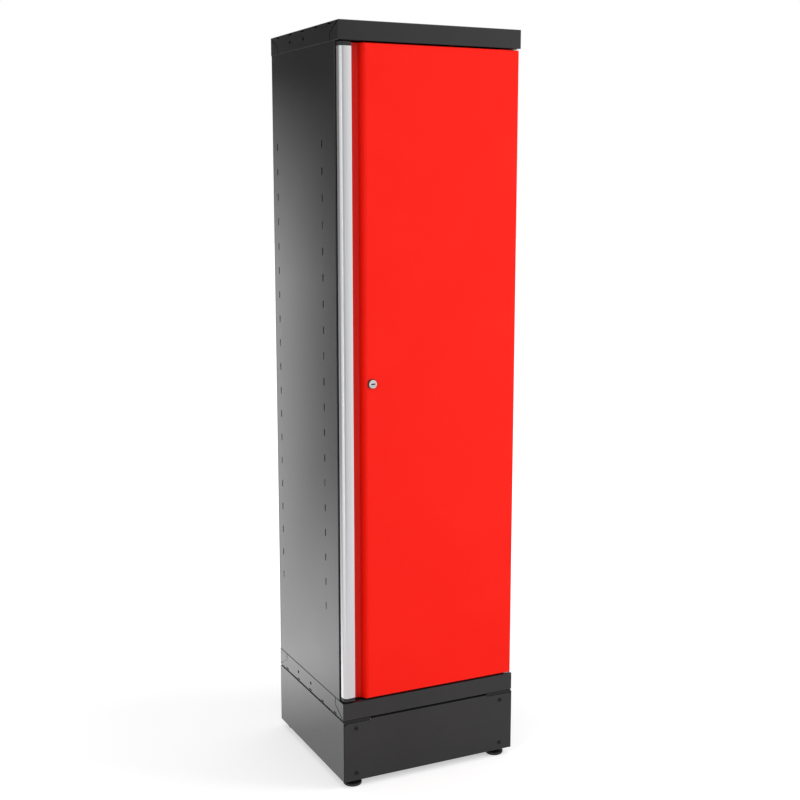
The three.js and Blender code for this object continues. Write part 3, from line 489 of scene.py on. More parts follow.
cutters = seam_cutters(1, cap_low[Y]) + seam_cutters(-1, cap_high[Y])
for i in range(HOLE_COUNT):
    hole_place = (cap_low[Y] + HOLE_FRONT + i * HOLE_PITCH, cap_high[Z] - HOLE_HEIGHT)
    cutters.append(rod("hole", X, HOLE_DIAMETER, *wall_span, hole_place, HOLE_SIDES))
slot_z = cap_high[Z] - SLOT_HEIGHT
for i in range(SLOT_COUNT):
    slot_y = cap_low[Y] + SLOT_FRONT + i * SLOT_PITCH
    cutters.append(block("slot", (wall_span[0], slot_y - SLOT_LENGTH / 2, slot_z - SLOT_WIDTH / 2),
                         (wall_span[1], slot_y + SLOT_LENGTH / 2, slot_z + SLOT_WIDTH / 2)))
left_cutters = join(cutters)
right_cutters = mirror_image(left_cutters, "right_cutters", X, 0)
pin_low, pin_high = box_of("hinge_pin_top")
pin_place = ((pin_low[X] + pin_high[X]) / 2, (pin_low[Y] + pin_high[Y]) / 2)
pin_hole = rod("pin_hole", Z, PIN_HOLE, cap_low[Z] - OVERSHOOT, cap_low[Z] + OVERSHOOT, pin_place,
               HOLE_SIDES)
cut_out(cap, [left_cutters, right_cutters, pin_hole])
print("cap cut, pin at", [round(value, 2) for value in pin_place])

# %% Turn a copy over for the tray
tray_low = box_of("bottom_tray")[0]
tray = mirror_image(cap, "tray_pressing", Z, (cap_high[Z] + tray_low[Z]) / 2)
finish(cap, graphite_coat, "carcass", "top_cap")
finish(tray, graphite_coat, "carcass", "bottom_tray")

# %% [markdown]
# ## Side panels
#
# Each side is one sheet, folded in at the front and rear. Two columns of upright slots take the shelf
# rails. A block is opened on three faces, its rear flange is shortened, and its two folds are rounded.
# One slot cutter with round ends is repeated upwards by an Array modifier. The bolt holes of the cap
# and tray go on through the sheet, and its ends are notched behind their slots, so both look dark. The
# right panel's top end stays whole, so that no daylight shows above the door.

# %% Fold the left panel and punch its slots
FRONT_FLANGE, REAR_FLANGE = 40, 20
ROW_SLOT_WIDTH, ROW_SLOT_LENGTH, ROW_PITCH, ROW_COUNT = 5.6, 20, 68, 19
ROW_FRONT_INSET, ROW_REAR_INSET = 87, 33.4
FIRST_SLOT, ROW_SLOT_ROUND, HOLE_ROOM, NOTCH_ROOM = 481, 2.52, 1, 2
panel_low, panel_high = box_of("left_side_panel")
sheet_span = (panel_low[X] - OVERSHOOT, panel_low[X] + OVERSHOOT)
panel = block("side_panel_left", panel_low, panel_high)
remove_faces(panel, lambda face: at(X, panel_high[X])(face) or abs(face.normal.z) > FACING)
move_corners(panel, lambda v: at(X, panel_high[X])(v) and at(Y, panel_high[Y])(v),
             (REAR_FLANGE - FRONT_FLANGE, 0, 0))
fold(panel, FOLD_RADIUS, lambda edge: at(X, panel_low[X])(edge) and not at(Z, panel_low[Z])(edge)
     and not at(Z, panel_high[Z])(edge))
thicken(panel, SHEET)
punches = []
for row_y in (panel_low[Y] + ROW_FRONT_INSET, panel_high[Y] - ROW_REAR_INSET):
    punch = block("punch", (sheet_span[0], row_y - ROW_SLOT_WIDTH / 2, FIRST_SLOT - ROW_SLOT_LENGTH / 2),
                  (sheet_span[1], row_y + ROW_SLOT_WIDTH / 2, FIRST_SLOT + ROW_SLOT_LENGTH / 2))
    fold(punch, ROW_SLOT_ROUND, lambda edge: not any(at(X, face_x)(edge) for face_x in sheet_span))
    apply_modifier(punch, "ARRAY", count=ROW_COUNT, use_relative_offset=False,
                   use_constant_offset=True, constant_offset_displace=metres((0, 0, ROW_PITCH)))
    punches.append(punch)


def end_cutters(end_z, inwards):
    """Holes and notches behind those of the cap or tray; inwards is +1 at the tray and -1 at the cap."""
    cutters = []
    for i in range(HOLE_COUNT):
        hole_place = (cap_low[Y] + HOLE_FRONT + i * HOLE_PITCH, end_z + inwards * HOLE_HEIGHT)
        cutters.append(rod("hole", X, HOLE_DIAMETER + 2 * HOLE_ROOM, *sheet_span, hole_place,
                           HOLE_SIDES))
    notch_z = end_z + inwards * (SLOT_HEIGHT + SLOT_WIDTH / 2 + NOTCH_ROOM)
    half_length = SLOT_LENGTH / 2 + NOTCH_ROOM
    for i in range(SLOT_COUNT):
        slot_y = cap_low[Y] + SLOT_FRONT + i * SLOT_PITCH
        cutters.append(block("notch", (sheet_span[0], slot_y - half_length, min(end_z, notch_z)),
                             (sheet_span[1], slot_y + half_length, max(end_z, notch_z))))
    return cutters


cut_out(panel, punches + end_cutters(tray_low[Z], 1))
right_panel = mirror_image(panel, "side_panel_right", X, 0)
cut_out(panel, end_cutters(cap_high[Z], -1))
finish(panel, graphite_coat, "carcass", "left_side_panel")
finish(right_panel, graphite_coat, "carcass", "right_side_panel")

# %% [markdown]
# ## Door
#
# The red door is a shallow box with a slanting left return. That return ends in the floor of the finger
# recess, which runs on behind the handle and carries it. The corners are rounder than the carcass
# folds.

# %% Fold the door skin
RECESS_FRONT, RECESS_SLANT, EDGE_INSET = 72.3, 12, 4
DOOR_FOLD, DOOR_STEPS, RECESS_FOLD = 3.2, 6, 2.0
skin_low, skin_high = box_of("door_skin")
recess_x = cap_low[X] + RECESS_FRONT
recess_end = recess_x - RECESS_SLANT
recess_floor = skin_high[Y] - SHEET
door = block("door_pressing", (recess_x, *skin_low[1:]), skin_high)
move_corners(door, lambda v: at(X, recess_x)(v) and at(Y, skin_high[Y])(v),
             (-RECESS_SLANT, -SHEET, 0))
remove_faces(door, lambda face: face.normal.y > FACING)
fold(door, DOOR_FOLD, lambda edge: at(Y, skin_low[Y])(edge) or
     (at(X, skin_high[X])(edge) and len(edge.link_faces) == 2), DOOR_STEPS)
extrude_edges(door, lambda edge: at(X, recess_end)(edge) and len(edge.link_faces) == 1,
              (skin_low[X] + EDGE_INSET - recess_end, 0, 0))
fold(door, RECESS_FOLD, lambda edge: at(X, recess_end)(edge) and at(Y, recess_floor)(edge)
     and len(edge.link_faces) == 2)
thicken(door, SHEET, even=False)
print("door", [round(b - a, 1) for a, b in zip(skin_low, skin_high)], "mm")

# %% [markdown]
# The lock sits in a round hole beside the recess, and the pivot pins pass through the top and bottom
# returns. Both are cut with plain rods a little larger than what goes through them.

# %% Cut the lock and pin holes
LOCK_HOLE, DOOR_PIN_HOLE = 18.6, 8.6
lock_low, lock_high = box_of("lock_housing")
lock_place = ((lock_low[X] + lock_high[X]) / 2, (lock_low[Z] + lock_high[Z]) / 2)
lock_hole = rod("lock_hole", Y, LOCK_HOLE, skin_low[Y] - OVERSHOOT, skin_low[Y] + OVERSHOOT, lock_place)
pin_holes = rod("pin_holes", Z, DOOR_PIN_HOLE, skin_low[Z] - OVERSHOOT, skin_high[Z] + OVERSHOOT, pin_place)
cut_out(door, [lock_hole, pin_holes])
finish(door, red_coat, "door", "door_skin")
print("lock at", [round(value, 1) for value in lock_place])

# %% [markdown]
# ## Handle profile
#
# The handle is an aluminium extrusion, so it is drawn once as a line in plan and pulled up. The line
# starts as a single vertex, which is extruded from point to point: the foot on the recess floor, the
# left wall, and the crowned front that drops towards the fingers. Its two corners are rounded by bevels
# on those vertices, and the wall comes from Solidify.

# %% Draw the handle and pull it up
HANDLE_WALL, HANDLE_CORNER, HANDLE_FOOT, EDGE_DROP, WALL_LEAN = 2.2, 9, 21, 1.8, 2
REAR_CORNER, CORNER_STEPS, CROWN_STEPS, CROWN_GAP, HANDLE_EDGE = 1.0, 10, 6, 1, 0.5


def drawn_line(name, points):
    bpy.ops.object.select_all(action="DESELECT")
    bpy.ops.mesh.primitive_plane_add(size=0.001, location=metres(points[0]))
    piece = bpy.context.object
    piece.name = name
    bpy.ops.object.transform_apply(location=True, rotation=True, scale=True)
    with editing(piece, "VERT"):
        bpy.ops.mesh.select_all(action="SELECT")
        bpy.ops.mesh.merge(type="CENTER")
        for start, end in zip(points, points[1:]):
            step = metres(b - a for a, b in zip(start, end))
            bpy.ops.mesh.extrude_region_move(TRANSFORM_OT_translate={"value": step})
    return piece


def round_corner(piece, test, radius, steps):
    with editing(piece, "VERT") as mesh:
        pick(mesh, mesh.verts, test)
        bpy.ops.mesh.bevel(offset=radius / 1000, segments=steps, affect="VERTICES")


grip_low, grip_high = box_of("handle_profile")
left, front, bottom = grip_low
right, rear, top = grip_high
line = [(left + HANDLE_FOOT, rear, bottom), (left, rear, bottom), (left + WALL_LEAN, front, bottom)]
crown_start = left + WALL_LEAN + HANDLE_CORNER + CROWN_GAP
for i in range(CROWN_STEPS + 1):
    share = i / CROWN_STEPS
    line.append((crown_start + share * (right - crown_start), front + EDGE_DROP * share ** 2, bottom))
handle = drawn_line("handle_extrusion", line)
round_corner(handle, lambda v: at(X, left + WALL_LEAN)(v) and at(Y, front)(v), HANDLE_CORNER, CORNER_STEPS)
round_corner(handle, lambda v: at(X, left)(v) and at(Y, rear)(v), REAR_CORNER, 3)
with editing(handle, "EDGE"):
    bpy.ops.mesh.select_all(action="SELECT")
    bpy.ops.mesh.extrude_region_move(TRANSFORM_OT_translate={"value": metres((0, 0, top - bottom))})
    bpy.ops.mesh.select_all(action="SELECT")
    bpy.ops.mesh.normals_make_consistent(inside=False)
left_wall = min(handle.data.polygons, key=lambda face: face.center.x)
if left_wall.normal.x > 0:
    handle.data.flip_normals()
thicken(handle, HANDLE_WALL)
soften(handle, HANDLE_EDGE)
finish(handle, aluminium, "door", "handle_profile")

# %% [markdown]
# The profile's ends are closed by moulded black caps of the same outline. A cube takes the same round
# corner, its front right edge is set back to the crown's drop, and all sharp edges are softened. A
# short spigot holds the cap inside the profile.

# %% Mould the handle's end caps
SPIGOT_LENGTH, SPIGOT_INSET, SPIGOT_ROOT, SPIGOT_PLAY, SPIGOT_EDGE, CAP_EDGE = 12, 4.5, 1, 0.5, 0.6, 0.7
cap_end_low, cap_end_high = box_of("handle_cap_bottom")
seat = cap_end_high[Z] - SPIGOT_LENGTH
end_cap = block("handle_end_bottom", cap_end_low, (*cap_end_high[:2], seat))
move_corners(end_cap, lambda v: at(X, cap_end_high[X])(v) and at(Y, cap_end_low[Y])(v),
             (0, EDGE_DROP, 0))
move_corners(end_cap, lambda v: at(X, cap_end_low[X])(v) and at(Y, cap_end_low[Y])(v),
             (WALL_LEAN, 0, 0))
fold(end_cap, HANDLE_CORNER, lambda edge: at(X, cap_end_low[X] + WALL_LEAN)(edge), CORNER_STEPS)
soften(end_cap, CAP_EDGE, 3)
spigot = block("spigot", (left + SPIGOT_INSET, front + SPIGOT_INSET, seat - SPIGOT_ROOT),
               (left + HANDLE_FOOT - 2 * SPIGOT_PLAY, rear - HANDLE_WALL - SPIGOT_PLAY, cap_end_high[Z]))
soften(spigot, SPIGOT_EDGE)
end_cap = join([end_cap, spigot])
upper_cap = mirror_image(end_cap, "handle_end_top", Z, (skin_low[Z] + skin_high[Z]) / 2)
finish(end_cap, plastic, "door", "handle_cap_bottom")
finish(upper_cap, plastic, "door", "handle_cap_top")

# %% [markdown]
# ## Turned parts
#
# The lock, the screws and the feet are round. A half outline is drawn as a line of extruded vertices
# and spun about its axis, as on a lathe. The doubles at the seam and the poles are merged before the
# faces are turned outwards.

# %% Helper that turns a half outline
def turned(name, axis, place, outline, sides=48):
    """outline holds (radius, height along the axis) pairs; place is the axis on the other two."""
    points = []
    for radius, height in outline:
        point = [place[0] + radius, place[1]]
        point.insert(axis, height)
        points.append(point)
    piece = drawn_line(name, points)
    centre = list(place)
    centre.insert(axis, 0)
    direction = [0, 0, 0]
    direction[axis] = 1
    with editing(piece, "VERT"):
        bpy.ops.mesh.select_all(action="SELECT")
        bpy.ops.mesh.spin(steps=sides, angle=2 * math.pi, center=metres(centre), axis=direction)
        bpy.ops.mesh.select_all(action="SELECT")
        bpy.ops.mesh.remove_doubles(threshold=1e-6)
        bpy.ops.mesh.normals_make_consistent(inside=False)
    return piece


print("lathe ready")

# %% [markdown]
# **Cam lock.** A chromed housing with a rounded rim is clamped in the door by a nut behind the skin.
# The plug turns inside it and shows a slot for the key, closed by a dark dust shutter. The plug is a
# body of its own, so it and the housing are separate pieces with a hair of air between them. A thin
# black collar lies round the rim on the paint; its black is painted shade for the lock's shadow.

# %% Turn the lock housing and plug
LOCK_BARREL, PLUG_DIAMETER, LOCK_BORE = 18, 13, 13.6
RIM_ROUND, KEY_LENGTH, KEY_WIDTH, KEY_DEPTH, SHUTTER_DEPTH = 1.6, 10.5, 3.8, 8, 2.0
COLLAR_WALL, COLLAR_STAND, COLLAR_CHAMFER, COLLAR_GAP = 1.6, 3.2, 0.6, 0.15
RIM_STEPS, SEAT_GAP, SHUTTER_GAP, SQUARE, SQUARE_ROOT = 6, 0.3, 0.1, 7, 0.5
PLUG_EDGE, SHUTTER_EDGE = 0.4, 0.2
face_y, barrel_y = lock_low[Y], lock_high[Y]
head = (lock_high[X] - lock_low[X]) / 2
seat_y = skin_low[Y] - SEAT_GAP
outline = [(LOCK_BORE / 2, face_y), (head - RIM_ROUND, face_y)]
for i in range(1, RIM_STEPS):
    slope = i / RIM_STEPS * math.pi / 2
    outline.append((head - RIM_ROUND + RIM_ROUND * math.sin(slope),
                    face_y + RIM_ROUND - RIM_ROUND * math.cos(slope)))
outline += [(head, face_y + RIM_ROUND), (head, seat_y), (LOCK_BARREL / 2, seat_y),
            (LOCK_BARREL / 2, barrel_y), (LOCK_BORE / 2, barrel_y), (LOCK_BORE / 2, face_y)]
housing = turned("lock_rim", Y, lock_place, outline)
plug_low, plug_high = box_of("lock_plug")
plug = rod("lock_key_plug", Y, PLUG_DIAMETER, plug_low[Y], barrel_y, lock_place)
soften(plug, PLUG_EDGE)


def lock_block(name, length, width, front_y, rear_y):
    """A block centred on the lock's axis; length is across the door and width is upright."""
    return block(name, (lock_place[0] - length / 2, front_y, lock_place[1] - width / 2),
                 (lock_place[0] + length / 2, rear_y, lock_place[1] + width / 2))


key_rear = plug_low[Y] + KEY_DEPTH
cut_out(plug, [lock_block("keyway", KEY_LENGTH, KEY_WIDTH, plug_low[Y] - OVERSHOOT, key_rear)])
shutter = lock_block("lock_shutter", KEY_LENGTH - 2 * SHUTTER_GAP, KEY_WIDTH - 2 * SHUTTER_GAP,
                     plug_low[Y] + SHUTTER_DEPTH, key_rear)
soften(shutter, SHUTTER_EDGE)
square = lock_block("square", SQUARE, SQUARE, barrel_y - SQUARE_ROOT, plug_high[Y])
soften(square, PLUG_EDGE)
plug = join([plug, square])
collar_inside = head + COLLAR_GAP
collar_outside = collar_inside + COLLAR_WALL
collar_y = skin_low[Y] - COLLAR_STAND
# The collar's black is painted shade: it stands for the shadow that the lock casts on the door.
shade_collar = turned("lock_shade_collar", Y, lock_place, [
    (collar_inside, collar_y), (collar_outside - COLLAR_CHAMFER, collar_y),
    (collar_outside, collar_y + COLLAR_CHAMFER), (collar_outside, skin_low[Y]),
    (collar_inside, skin_low[Y]), (collar_inside, collar_y)])
print("lock face", round(face_y, 2), "door front", round(skin_low[Y], 2))
finish(shade_collar, plastic, "door")
finish(housing, chrome, "door", "lock_housing")
finish(plug, chrome, "lock", "lock_plug")
finish(shutter, plastic, "lock")

# %% [markdown]
# **Plinth screws.** Four dome-headed screws hold the plinth's front panel. Each head is a quarter
# ellipse spun to a dome, with a six-sided socket for the key. One is modelled and copied to all four
# places. It has 30 sides, so that no corner of the socket falls on an edge of the dome.

# %% Turn one screw and copy it
SOCKET, SOCKET_DEPTH, SHANK = 4.6, 2.2, 6
DOME_STEPS, SCREW_SIDES, SOCKET_SIDES = 8, 30, 6
screw_low, screw_high = box_of("plinth_screw_lower_left")
screw_place = ((screw_low[X] + screw_high[X]) / 2, (screw_low[Z] + screw_high[Z]) / 2)
head_radius = (screw_high[X] - screw_low[X]) / 2
plinth_low, plinth_high = box_of("plinth_front_panel")
dome = plinth_low[Y] - SEAT_GAP - screw_low[Y]
outline = []
for i in range(DOME_STEPS + 1):
    slope = i / DOME_STEPS * math.pi / 2
    outline.append((head_radius * math.sin(slope), screw_low[Y] + dome - dome * math.cos(slope)))
outline += [(SHANK / 2, screw_low[Y] + dome), (SHANK / 2, screw_high[Y]), (0, screw_high[Y])]
screw = turned("screw_pattern", Y, screw_place, outline, SCREW_SIDES)
socket = rod("socket", Y, SOCKET, screw_low[Y] - OVERSHOOT, screw_low[Y] + SOCKET_DEPTH, screw_place,
             SOCKET_SIDES)
cut_out(screw, [socket])
for level in ("lower", "upper"):
    for side in ("left", "right"):
        node = f"plinth_screw_{level}_{side}"
        step = [a - b for a, b in zip(box_of(node)[0], screw_low)]
        finish(copy_of(screw, f"screw_head_{level}_{side}", step), black_steel, "carcass", node)
bpy.data.objects.remove(screw)

# %% [markdown]
# **Levelling feet.** A moulded pad spreads the load, and its raised middle holds the threaded stud. The
# pad's outline is spun and its sharp edges are softened.

# %% Turn one foot pad and copy it
PAD_RIM, PAD_CHAMFER, PAD_BOSS, PAD_FLOOR, PAD_EDGE, STUD_SOCKET = 8, 2.5, 22, 5, 0.8, 10.6
pad_low, pad_high = box_of("foot_pad_front_left")
pad_place = ((pad_low[X] + pad_high[X]) / 2, (pad_low[Y] + pad_high[Y]) / 2)
pad_radius = (pad_high[X] - pad_low[X]) / 2
outline = [(0, 0), (pad_radius - PAD_CHAMFER, 0), (pad_radius, PAD_CHAMFER), (pad_radius, PAD_RIM),
           (PAD_BOSS / 2, pad_high[Z]), (STUD_SOCKET / 2, pad_high[Z]), (STUD_SOCKET / 2, PAD_FLOOR),
           (0, PAD_FLOOR)]
pad = turned("pad_pattern", Z, pad_place, outline)
soften(pad, PAD_EDGE)
for end in ("front", "rear"):
    for side in ("left", "right"):
        node = f"foot_pad_{end}_{side}"
        step = [a - b for a, b in zip(box_of(node)[0], pad_low)]
        finish(copy_of(pad, f"levelling_pad_{end}_{side}", step), plastic, f"foot_{end}_{side}", node)
bpy.data.objects.remove(pad)

# %% [markdown]
# ## Plinth
#
# The plinth hides the feet. Its front and rear panels are shallow trays with their top corners notched
# for the foot brackets, so a dark line shows under the tray. The sides are plain sheets with a return
# along the top and bottom.

# %% Fold the plinth panels
NOTCH_LENGTH, NOTCH_DEPTH, CORNER_CUT, TOP_CUT = 80, 4, 8, 1.2
PLINTH_FOLD, RETURN_CLEARANCE = 1.6, 16
panel_top = plinth_high[Z] - TOP_CUT
front_panel = block("plinth_front", plinth_low, (*plinth_high[:2], panel_top))
fold(front_panel, PLINTH_FOLD, lambda edge: not at(Y, plinth_high[Y])(edge))
remove_faces(front_panel, at(Y, plinth_high[Y]))
thicken(front_panel, SHEET)
ledge = panel_top - NOTCH_DEPTH
cut_front, cut_rear = plinth_low[Y] - OVERSHOOT, plinth_high[Y] + OVERSHOOT
notches = []
for side in (plinth_low[X], plinth_high[X]):
    sense = 1 if side < 0 else -1
    across = sorted((side - sense * OVERSHOOT, sense * (cap_low[X] + NOTCH_LENGTH)))
    notches.append(block("notch", (across[0], cut_front, ledge),
                         (across[1], cut_rear, plinth_high[Z] + OVERSHOOT)))
    corner = block("corner", (-CORNER_CUT, cut_front, -CORNER_CUT / math.sqrt(2)),
                   (CORNER_CUT, cut_rear, CORNER_CUT / math.sqrt(2)))
    corner.rotation_euler = (0, sense * -math.pi / 4, 0)
    corner.location = metres((side, 0, ledge))
    bpy.ops.object.transform_apply(location=True, rotation=True, scale=True)
    notches.append(corner)
cut_out(front_panel, notches)
rear_panel = mirror_image(front_panel, "plinth_rear", Y, (cap_low[Y] + cap_high[Y]) / 2)
finish(front_panel, graphite_coat, "carcass", "plinth_front_panel")
finish(rear_panel, graphite_coat, "carcass", "plinth_rear_panel")
side_low, side_high = box_of("plinth_left_side")
plinth_side = block("plinth_side_left", side_low, side_high)
fold(plinth_side, PLINTH_FOLD, lambda edge: at(X, side_low[X])(edge) and
     (at(Z, side_low[Z])(edge) or at(Z, side_high[Z])(edge)))
remove_faces(plinth_side, lambda face: at(X, side_high[X])(face) or abs(face.normal.y) > FACING)
move_corners(plinth_side, lambda v: at(X, side_high[X])(v) and at(Y, side_low[Y])(v),
             (0, RETURN_CLEARANCE, 0))
move_corners(plinth_side, lambda v: at(X, side_high[X])(v) and at(Y, side_high[Y])(v),
             (0, -RETURN_CLEARANCE, 0))
thicken(plinth_side, SHEET)
other_side = mirror_image(plinth_side, "plinth_side_right", X, 0)
finish(plinth_side, graphite_coat, "carcass", "plinth_left_side")
finish(other_side, graphite_coat, "carcass", "plinth_right_side")

# %% [markdown]
# ## What is inside
#
# The back, shelves, rails, pins and brackets keep their solids, which already have the right shape. A
# Weld modifier joins each solid's loose triangles, and a small Bevel breaks the edges as a press or a
# barrel finish would.

# %% Dress the remaining solids
BROKEN_EDGE, BROKEN_ANGLE = 0.3, 40
RAILS = [f"shelf_rail_{n}_{side}" for n in range(1, 5) for side in ("left", "right")]
CORNERS = [f"{end}_{side}" for end in ("front", "rear") for side in ("left", "right")]
KEPT = {
    graphite_coat: ["back_panel"] + [f"shelf_{n}" for n in range(1, 5)],
    red_coat: ["door_liner"],
    zinc: [f"foot_{kind}_{c}" for kind in ("nut", "stud") for c in CORNERS] +
    ["hinge_thrust_washer", "hinge_pin_bottom", "hinge_pin_top", "lock_nut", "lock_cam", "cam_screw"],
    nylon: ["hinge_bush_bottom", "hinge_bush_top"],
    rubber: ["door_buffer_lower", "door_buffer_upper"],
    # The rails and brackets take the painted-shade black, so the slots in front of them read as dark gaps.
    shade_black_coat: RAILS + [f"foot_bracket_{c}" for c in CORNERS],
}
for material, names in KEPT.items():
    for name in names:
        solid = frame["nodes"][name]
        solid.data.materials.clear()
        solid.data.materials.append(material)
        weld = solid.modifiers.new("Weld", "WELD")
        weld.merge_threshold = 1e-6
        broken = solid.modifiers.new("Bevel", "BEVEL")
        broken.width = BROKEN_EDGE / 1000
        broken.segments = 2
        broken.limit_method = "ANGLE"
        broken.angle_limit = math.radians(BROKEN_ANGLE)
print("solids kept:", sum(len(names) for names in KEPT.values()))

# %% [markdown]
# ## Studio
#
# The locker stands on a pale floor in a white surround, under large soft lamps. Paint and metal also
# need something to mirror. As in a product studio, a graduated card stands behind on the left, dark
# above and pale below, so that the side panel runs from nearly black at the top to light grey at the
# bottom. Only reflections see the card. The floor glows for the camera, more so further out, so that
# it is white but keeps the locker's shadow. Lamps and camera are placed in metres.

# %% Floor
FLOOR_GLOW_START, FLOOR_GLOW_END = 700, 2600
NEAR_GLOW, FAR_GLOW, GLOSSY_SHARE = 0.5, 0.8, 0.5
bpy.ops.object.select_all(action="DESELECT")
bpy.ops.mesh.primitive_plane_add(size=60, location=(0, 0, 0))
floor = bpy.context.object
floor.name = "studio_floor"
floor_paint = bpy.data.materials.new("matt_white_floor_paint")
floor_paint.use_nodes = True
tree = floor_paint.node_tree
floor_shader = tree.nodes["Principled BSDF"]
floor_shader.inputs["Base Color"].default_value = linear("#d8d8d8")
floor_shader.inputs["Roughness"].default_value = 0.9
floor_shader.inputs["Specular IOR Level"].default_value = 0.0
floor_shader.inputs["Emission Color"].default_value = (1, 1, 1, 1)
rays = add_node(tree, "ShaderNodeLightPath")
direct = add_node(tree, "ShaderNodeMath", {0: rays.outputs["Is Camera Ray"],
                                           1: rays.outputs["Is Transmission Ray"]},
                  operation="MAXIMUM")
seen = add_node(tree, "ShaderNodeMath", {0: rays.outputs["Is Glossy Ray"], 1: GLOSSY_SHARE,
                                         2: direct.outputs[0]}, operation="MULTIPLY_ADD")
spot = add_node(tree, "ShaderNodeTexCoord")
far = add_node(tree, "ShaderNodeVectorMath", {0: spot.outputs["Object"]}, operation="LENGTH")
rise = add_node(tree, "ShaderNodeMapRange", {"Value": far.outputs["Value"],
                                             "From Min": FLOOR_GLOW_START / 1000,
                                             "From Max": FLOOR_GLOW_END / 1000,
                                             "To Min": NEAR_GLOW, "To Max": FAR_GLOW},
                interpolation_type="SMOOTHSTEP")
glow = add_node(tree, "ShaderNodeMath", {0: seen.outputs[0], 1: rise.outputs["Result"]},
                operation="MULTIPLY")
tree.links.new(glow.outputs[0], floor_shader.inputs["Emission Strength"])
floor.data.materials.append(floor_paint)
print("floor ready")

# %% Surround
SURROUND_LIGHT = 0.5
world = bpy.data.worlds.new("white_studio")
bpy.context.scene.world = world
world.use_nodes = True
tree = world.node_tree
background = tree.nodes["Background"]
background.inputs["Color"].default_value = (1, 1, 1, 1)
rays = add_node(tree, "ShaderNodeLightPath")
direct = add_node(tree, "ShaderNodeMath", {0: rays.outputs["Is Camera Ray"],
                                           1: rays.outputs["Is Glossy Ray"]}, operation="MAXIMUM")
seen = add_node(tree, "ShaderNodeMath", {0: direct.outputs[0],
                                         1: rays.outputs["Is Transmission Ray"]}, operation="MAXIMUM")
level = add_node(tree, "ShaderNodeMapRange", {"Value": seen.outputs[0], "To Min": SURROUND_LIGHT,
                                              "To Max": 1.0})
tree.links.new(level.outputs["Result"], background.inputs["Strength"])
print("surround ready")


# %% Lamps
def soft_lamp(name, place, aim, size, power):
    bpy.ops.object.select_all(action="DESELECT")
    bpy.ops.object.light_add(type="AREA", location=place)
    lamp = bpy.context.object
    lamp.name = name
    lamp.data.shape = "RECTANGLE"
    lamp.data.size, lamp.data.size_y = size
    lamp.data.energy = power
    direction = [b - a for a, b in zip(place, aim)]
    lamp.rotation_euler = mathutils.Vector(direction).to_track_quat("-Z", "Y").to_euler()
    return lamp


right_lamp = soft_lamp("right_lamp", (4.6, -2.7, 2.0), (0, 0, 1.0), (2.4, 3.2), 200)
left_lamp = soft_lamp("left_lamp", (-5.0, -2.0, 2.0), (0, 0, 1.0), (2.4, 3.2), 90)
top_lamp = soft_lamp("top_lamp", (0, 0, 4.2), (0, 0, 0), (3.0, 3.0), 36)
for lamp in (right_lamp, left_lamp):
    lamp.visible_glossy = False
print("lamps:", right_lamp.name, left_lamp.name, top_lamp.name)

# %% [markdown]
# The graduated card is a plane behind the locker's left rear corner. One ramp darkens it with height,
# and a second one brightens it towards its right edge, up to a little below the locker's top. A plain
# grey card goes on to its left, and a pale board lies on the floor before it. In front, a wide pale
# card fills the door and the fascia, and a narrow strip at the left draws the bright line along the
# handle. None of them throws a shadow or lights the room.

# %% Cards that only reflections see
CARD_GLOW, BOARD_GLOW, STRIP_GLOW = 2.6, 2.2, 4
UPRIGHT = (math.pi / 2, 0, 0)
HEIGHT_RAMP = [(0.0, 1.0), (0.17, 0.67), (0.33, 0.25), (0.47, 0.14), (0.67, 0.05), (0.85, 0.02)]


def mirror_card(name, low, high, rotation):
    """A glowing plane that only reflections see; returns its tree, shader and place sockets."""
    bpy.ops.object.select_all(action="DESELECT")
    bpy.ops.mesh.primitive_plane_add(size=1)
    card = bpy.context.object
    card.name = name
    spans = [b - a for a, b in zip(low, high)]
    card.rotation_euler = rotation
    card.scale = metres((spans[X], spans[Z] or spans[Y], 1))
    card.location = metres((a + b) / 2 for a, b in zip(low, high))
    bpy.ops.object.transform_apply(location=True, rotation=True, scale=True)
    paint = bpy.data.materials.new(name + "_paint")
    paint.use_nodes = True
    tree = paint.node_tree
    shader = tree.nodes["Principled BSDF"]
    shader.inputs["Base Color"].default_value = (0, 0, 0, 1)
    shader.inputs["Specular IOR Level"].default_value = 0.0
    shader.inputs["Emission Color"].default_value = (1, 1, 1, 1)
    card.data.materials.append(paint)
    card.visible_camera = False
    card.visible_diffuse = False
    card.visible_shadow = False
    spot = add_node(tree, "ShaderNodeTexCoord")
    parts = add_node(tree, "ShaderNodeSeparateXYZ", {"Vector": spot.outputs["Object"]})
    return tree, shader, parts


tree, shader, parts = mirror_card("graduated_card", (-800, 700, 0), (-300, 700, 3400), UPRIGHT)
rise = add_node(tree, "ShaderNodeMapRange", {"Value": parts.outputs["Z"], "From Min": 0.0,
                                             "From Max": 2.0})
ramp = add_node(tree, "ShaderNodeValToRGB", {"Fac": rise.outputs["Result"]})
for position, _ in HEIGHT_RAMP[1:-1]:
    ramp.color_ramp.elements.new(position)
for element, (position, value) in zip(ramp.color_ramp.elements, HEIGHT_RAMP):
    element.position = position
    element.color = (value, value, value, 1)
edge = add_node(tree, "ShaderNodeMapRange", {"Value": parts.outputs["X"], "From Min": -0.66,
                                             "From Max": -0.42})
fade = add_node(tree, "ShaderNodeMapRange", {"Value": parts.outputs["Z"], "From Min": 1.3,
                                             "From Max": 1.95, "To Min": 0.9, "To Max": 0.06})
column = add_node(tree, "ShaderNodeMath", {0: edge.outputs["Result"], 1: fade.outputs["Result"]},
                  operation="MULTIPLY")
shade = add_node(tree, "ShaderNodeMath", {0: ramp.outputs["Color"], 1: column.outputs[0]},
                 operation="MAXIMUM")
glow = add_node(tree, "ShaderNodeMath", {0: shade.outputs[0], 1: CARD_GLOW}, operation="MULTIPLY")
tree.links.new(glow.outputs[0], shader.inputs["Emission Strength"])

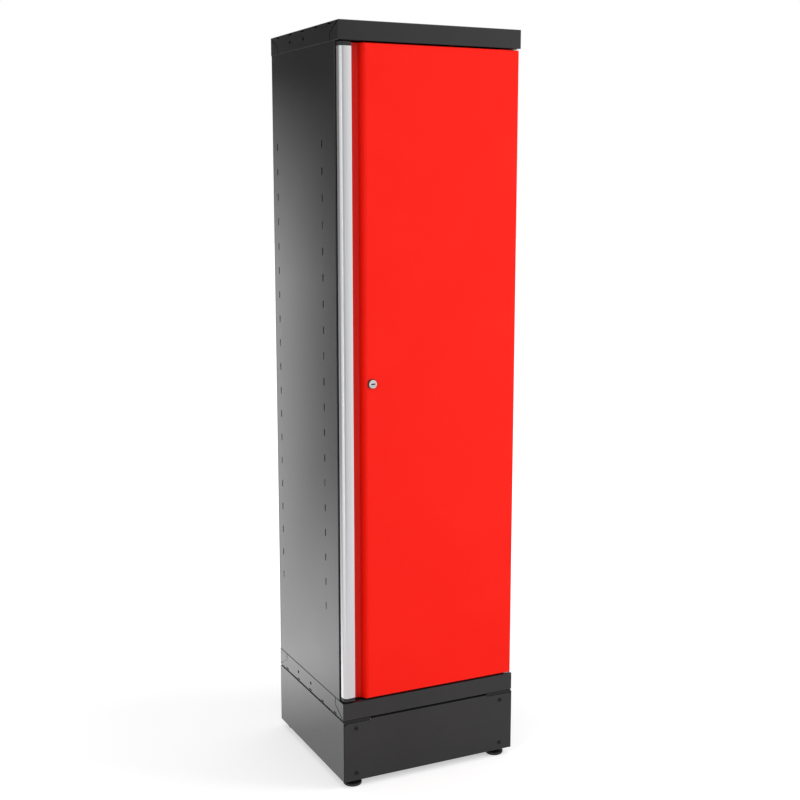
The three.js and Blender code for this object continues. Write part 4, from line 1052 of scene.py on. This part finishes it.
tree, shader, parts = mirror_card("grey_card", (-1700, 700, 0), (-800, 700, 3400), UPRIGHT)
band = add_node(tree, "ShaderNodeMapRange", {"Value": parts.outputs["X"], "From Min": -1.35,
                                             "From Max": -1.15, "To Min": 0.06, "To Max": 0.32})
tree.links.new(band.outputs["Result"], shader.inputs["Emission Strength"])

tree, shader, parts = mirror_card("floor_board", (-740, -300, 3), (-262, 700, 3), (0, 0, 0))
away = add_node(tree, "ShaderNodeMapRange", {"Value": parts.outputs["X"], "From Min": -0.27,
                                             "From Max": -0.5, "To Min": 0.62, "To Max": 0.8})
back = add_node(tree, "ShaderNodeMapRange", {"Value": parts.outputs["Y"], "From Min": 0.15,
                                             "From Max": 0.6, "To Min": 0.7 * BOARD_GLOW,
                                             "To Max": 1.4 * BOARD_GLOW})
glow = add_node(tree, "ShaderNodeMath", {0: away.outputs["Result"], 1: back.outputs["Result"]},
                operation="MULTIPLY")
tree.links.new(glow.outputs[0], shader.inputs["Emission Strength"])

tree, shader, parts = mirror_card("front_card", (-1500, -2200, 0), (4500, -2200, 4500), UPRIGHT)
along = add_node(tree, "ShaderNodeMapRange", {"Value": parts.outputs["X"], "From Min": 0.3,
                                              "From Max": 1.5, "To Min": 0.55, "To Max": 1.2})
tree.links.new(along.outputs["Result"], shader.inputs["Emission Strength"])

strip_shader = mirror_card("strip_card", (-1740, -1620, 100), (-1540, -1620, 2150), UPRIGHT)[1]
strip_shader.inputs["Emission Strength"].default_value = STRIP_GLOW
print("cards ready")

# %% [markdown]
# ## Camera
#
# The place, aim and lens come from a camera fitted to the locker's corners in the photograph. It stands
# to the left of the door at eye height and looks down a little.

# %% Camera and colours
YAW, PITCH, FOCAL, SENSOR = -25.92, 9.52, 57.67, 36
CAMERA_PLACE = (-1.5309, -3.1936, 1.6018)
camera_data = bpy.data.cameras.new("photo_camera")
camera = bpy.data.objects.new("photo_camera", camera_data)
bpy.context.scene.collection.objects.link(camera)
camera.location = CAMERA_PLACE
camera.rotation_euler = (math.radians(90 - PITCH), 0, math.radians(YAW))
camera_data.lens = FOCAL
camera_data.sensor_width = SENSOR
bpy.context.scene.camera = camera
bpy.context.scene.view_settings.view_transform = "Standard"
print("camera", [round(value, 3) for value in camera.location])
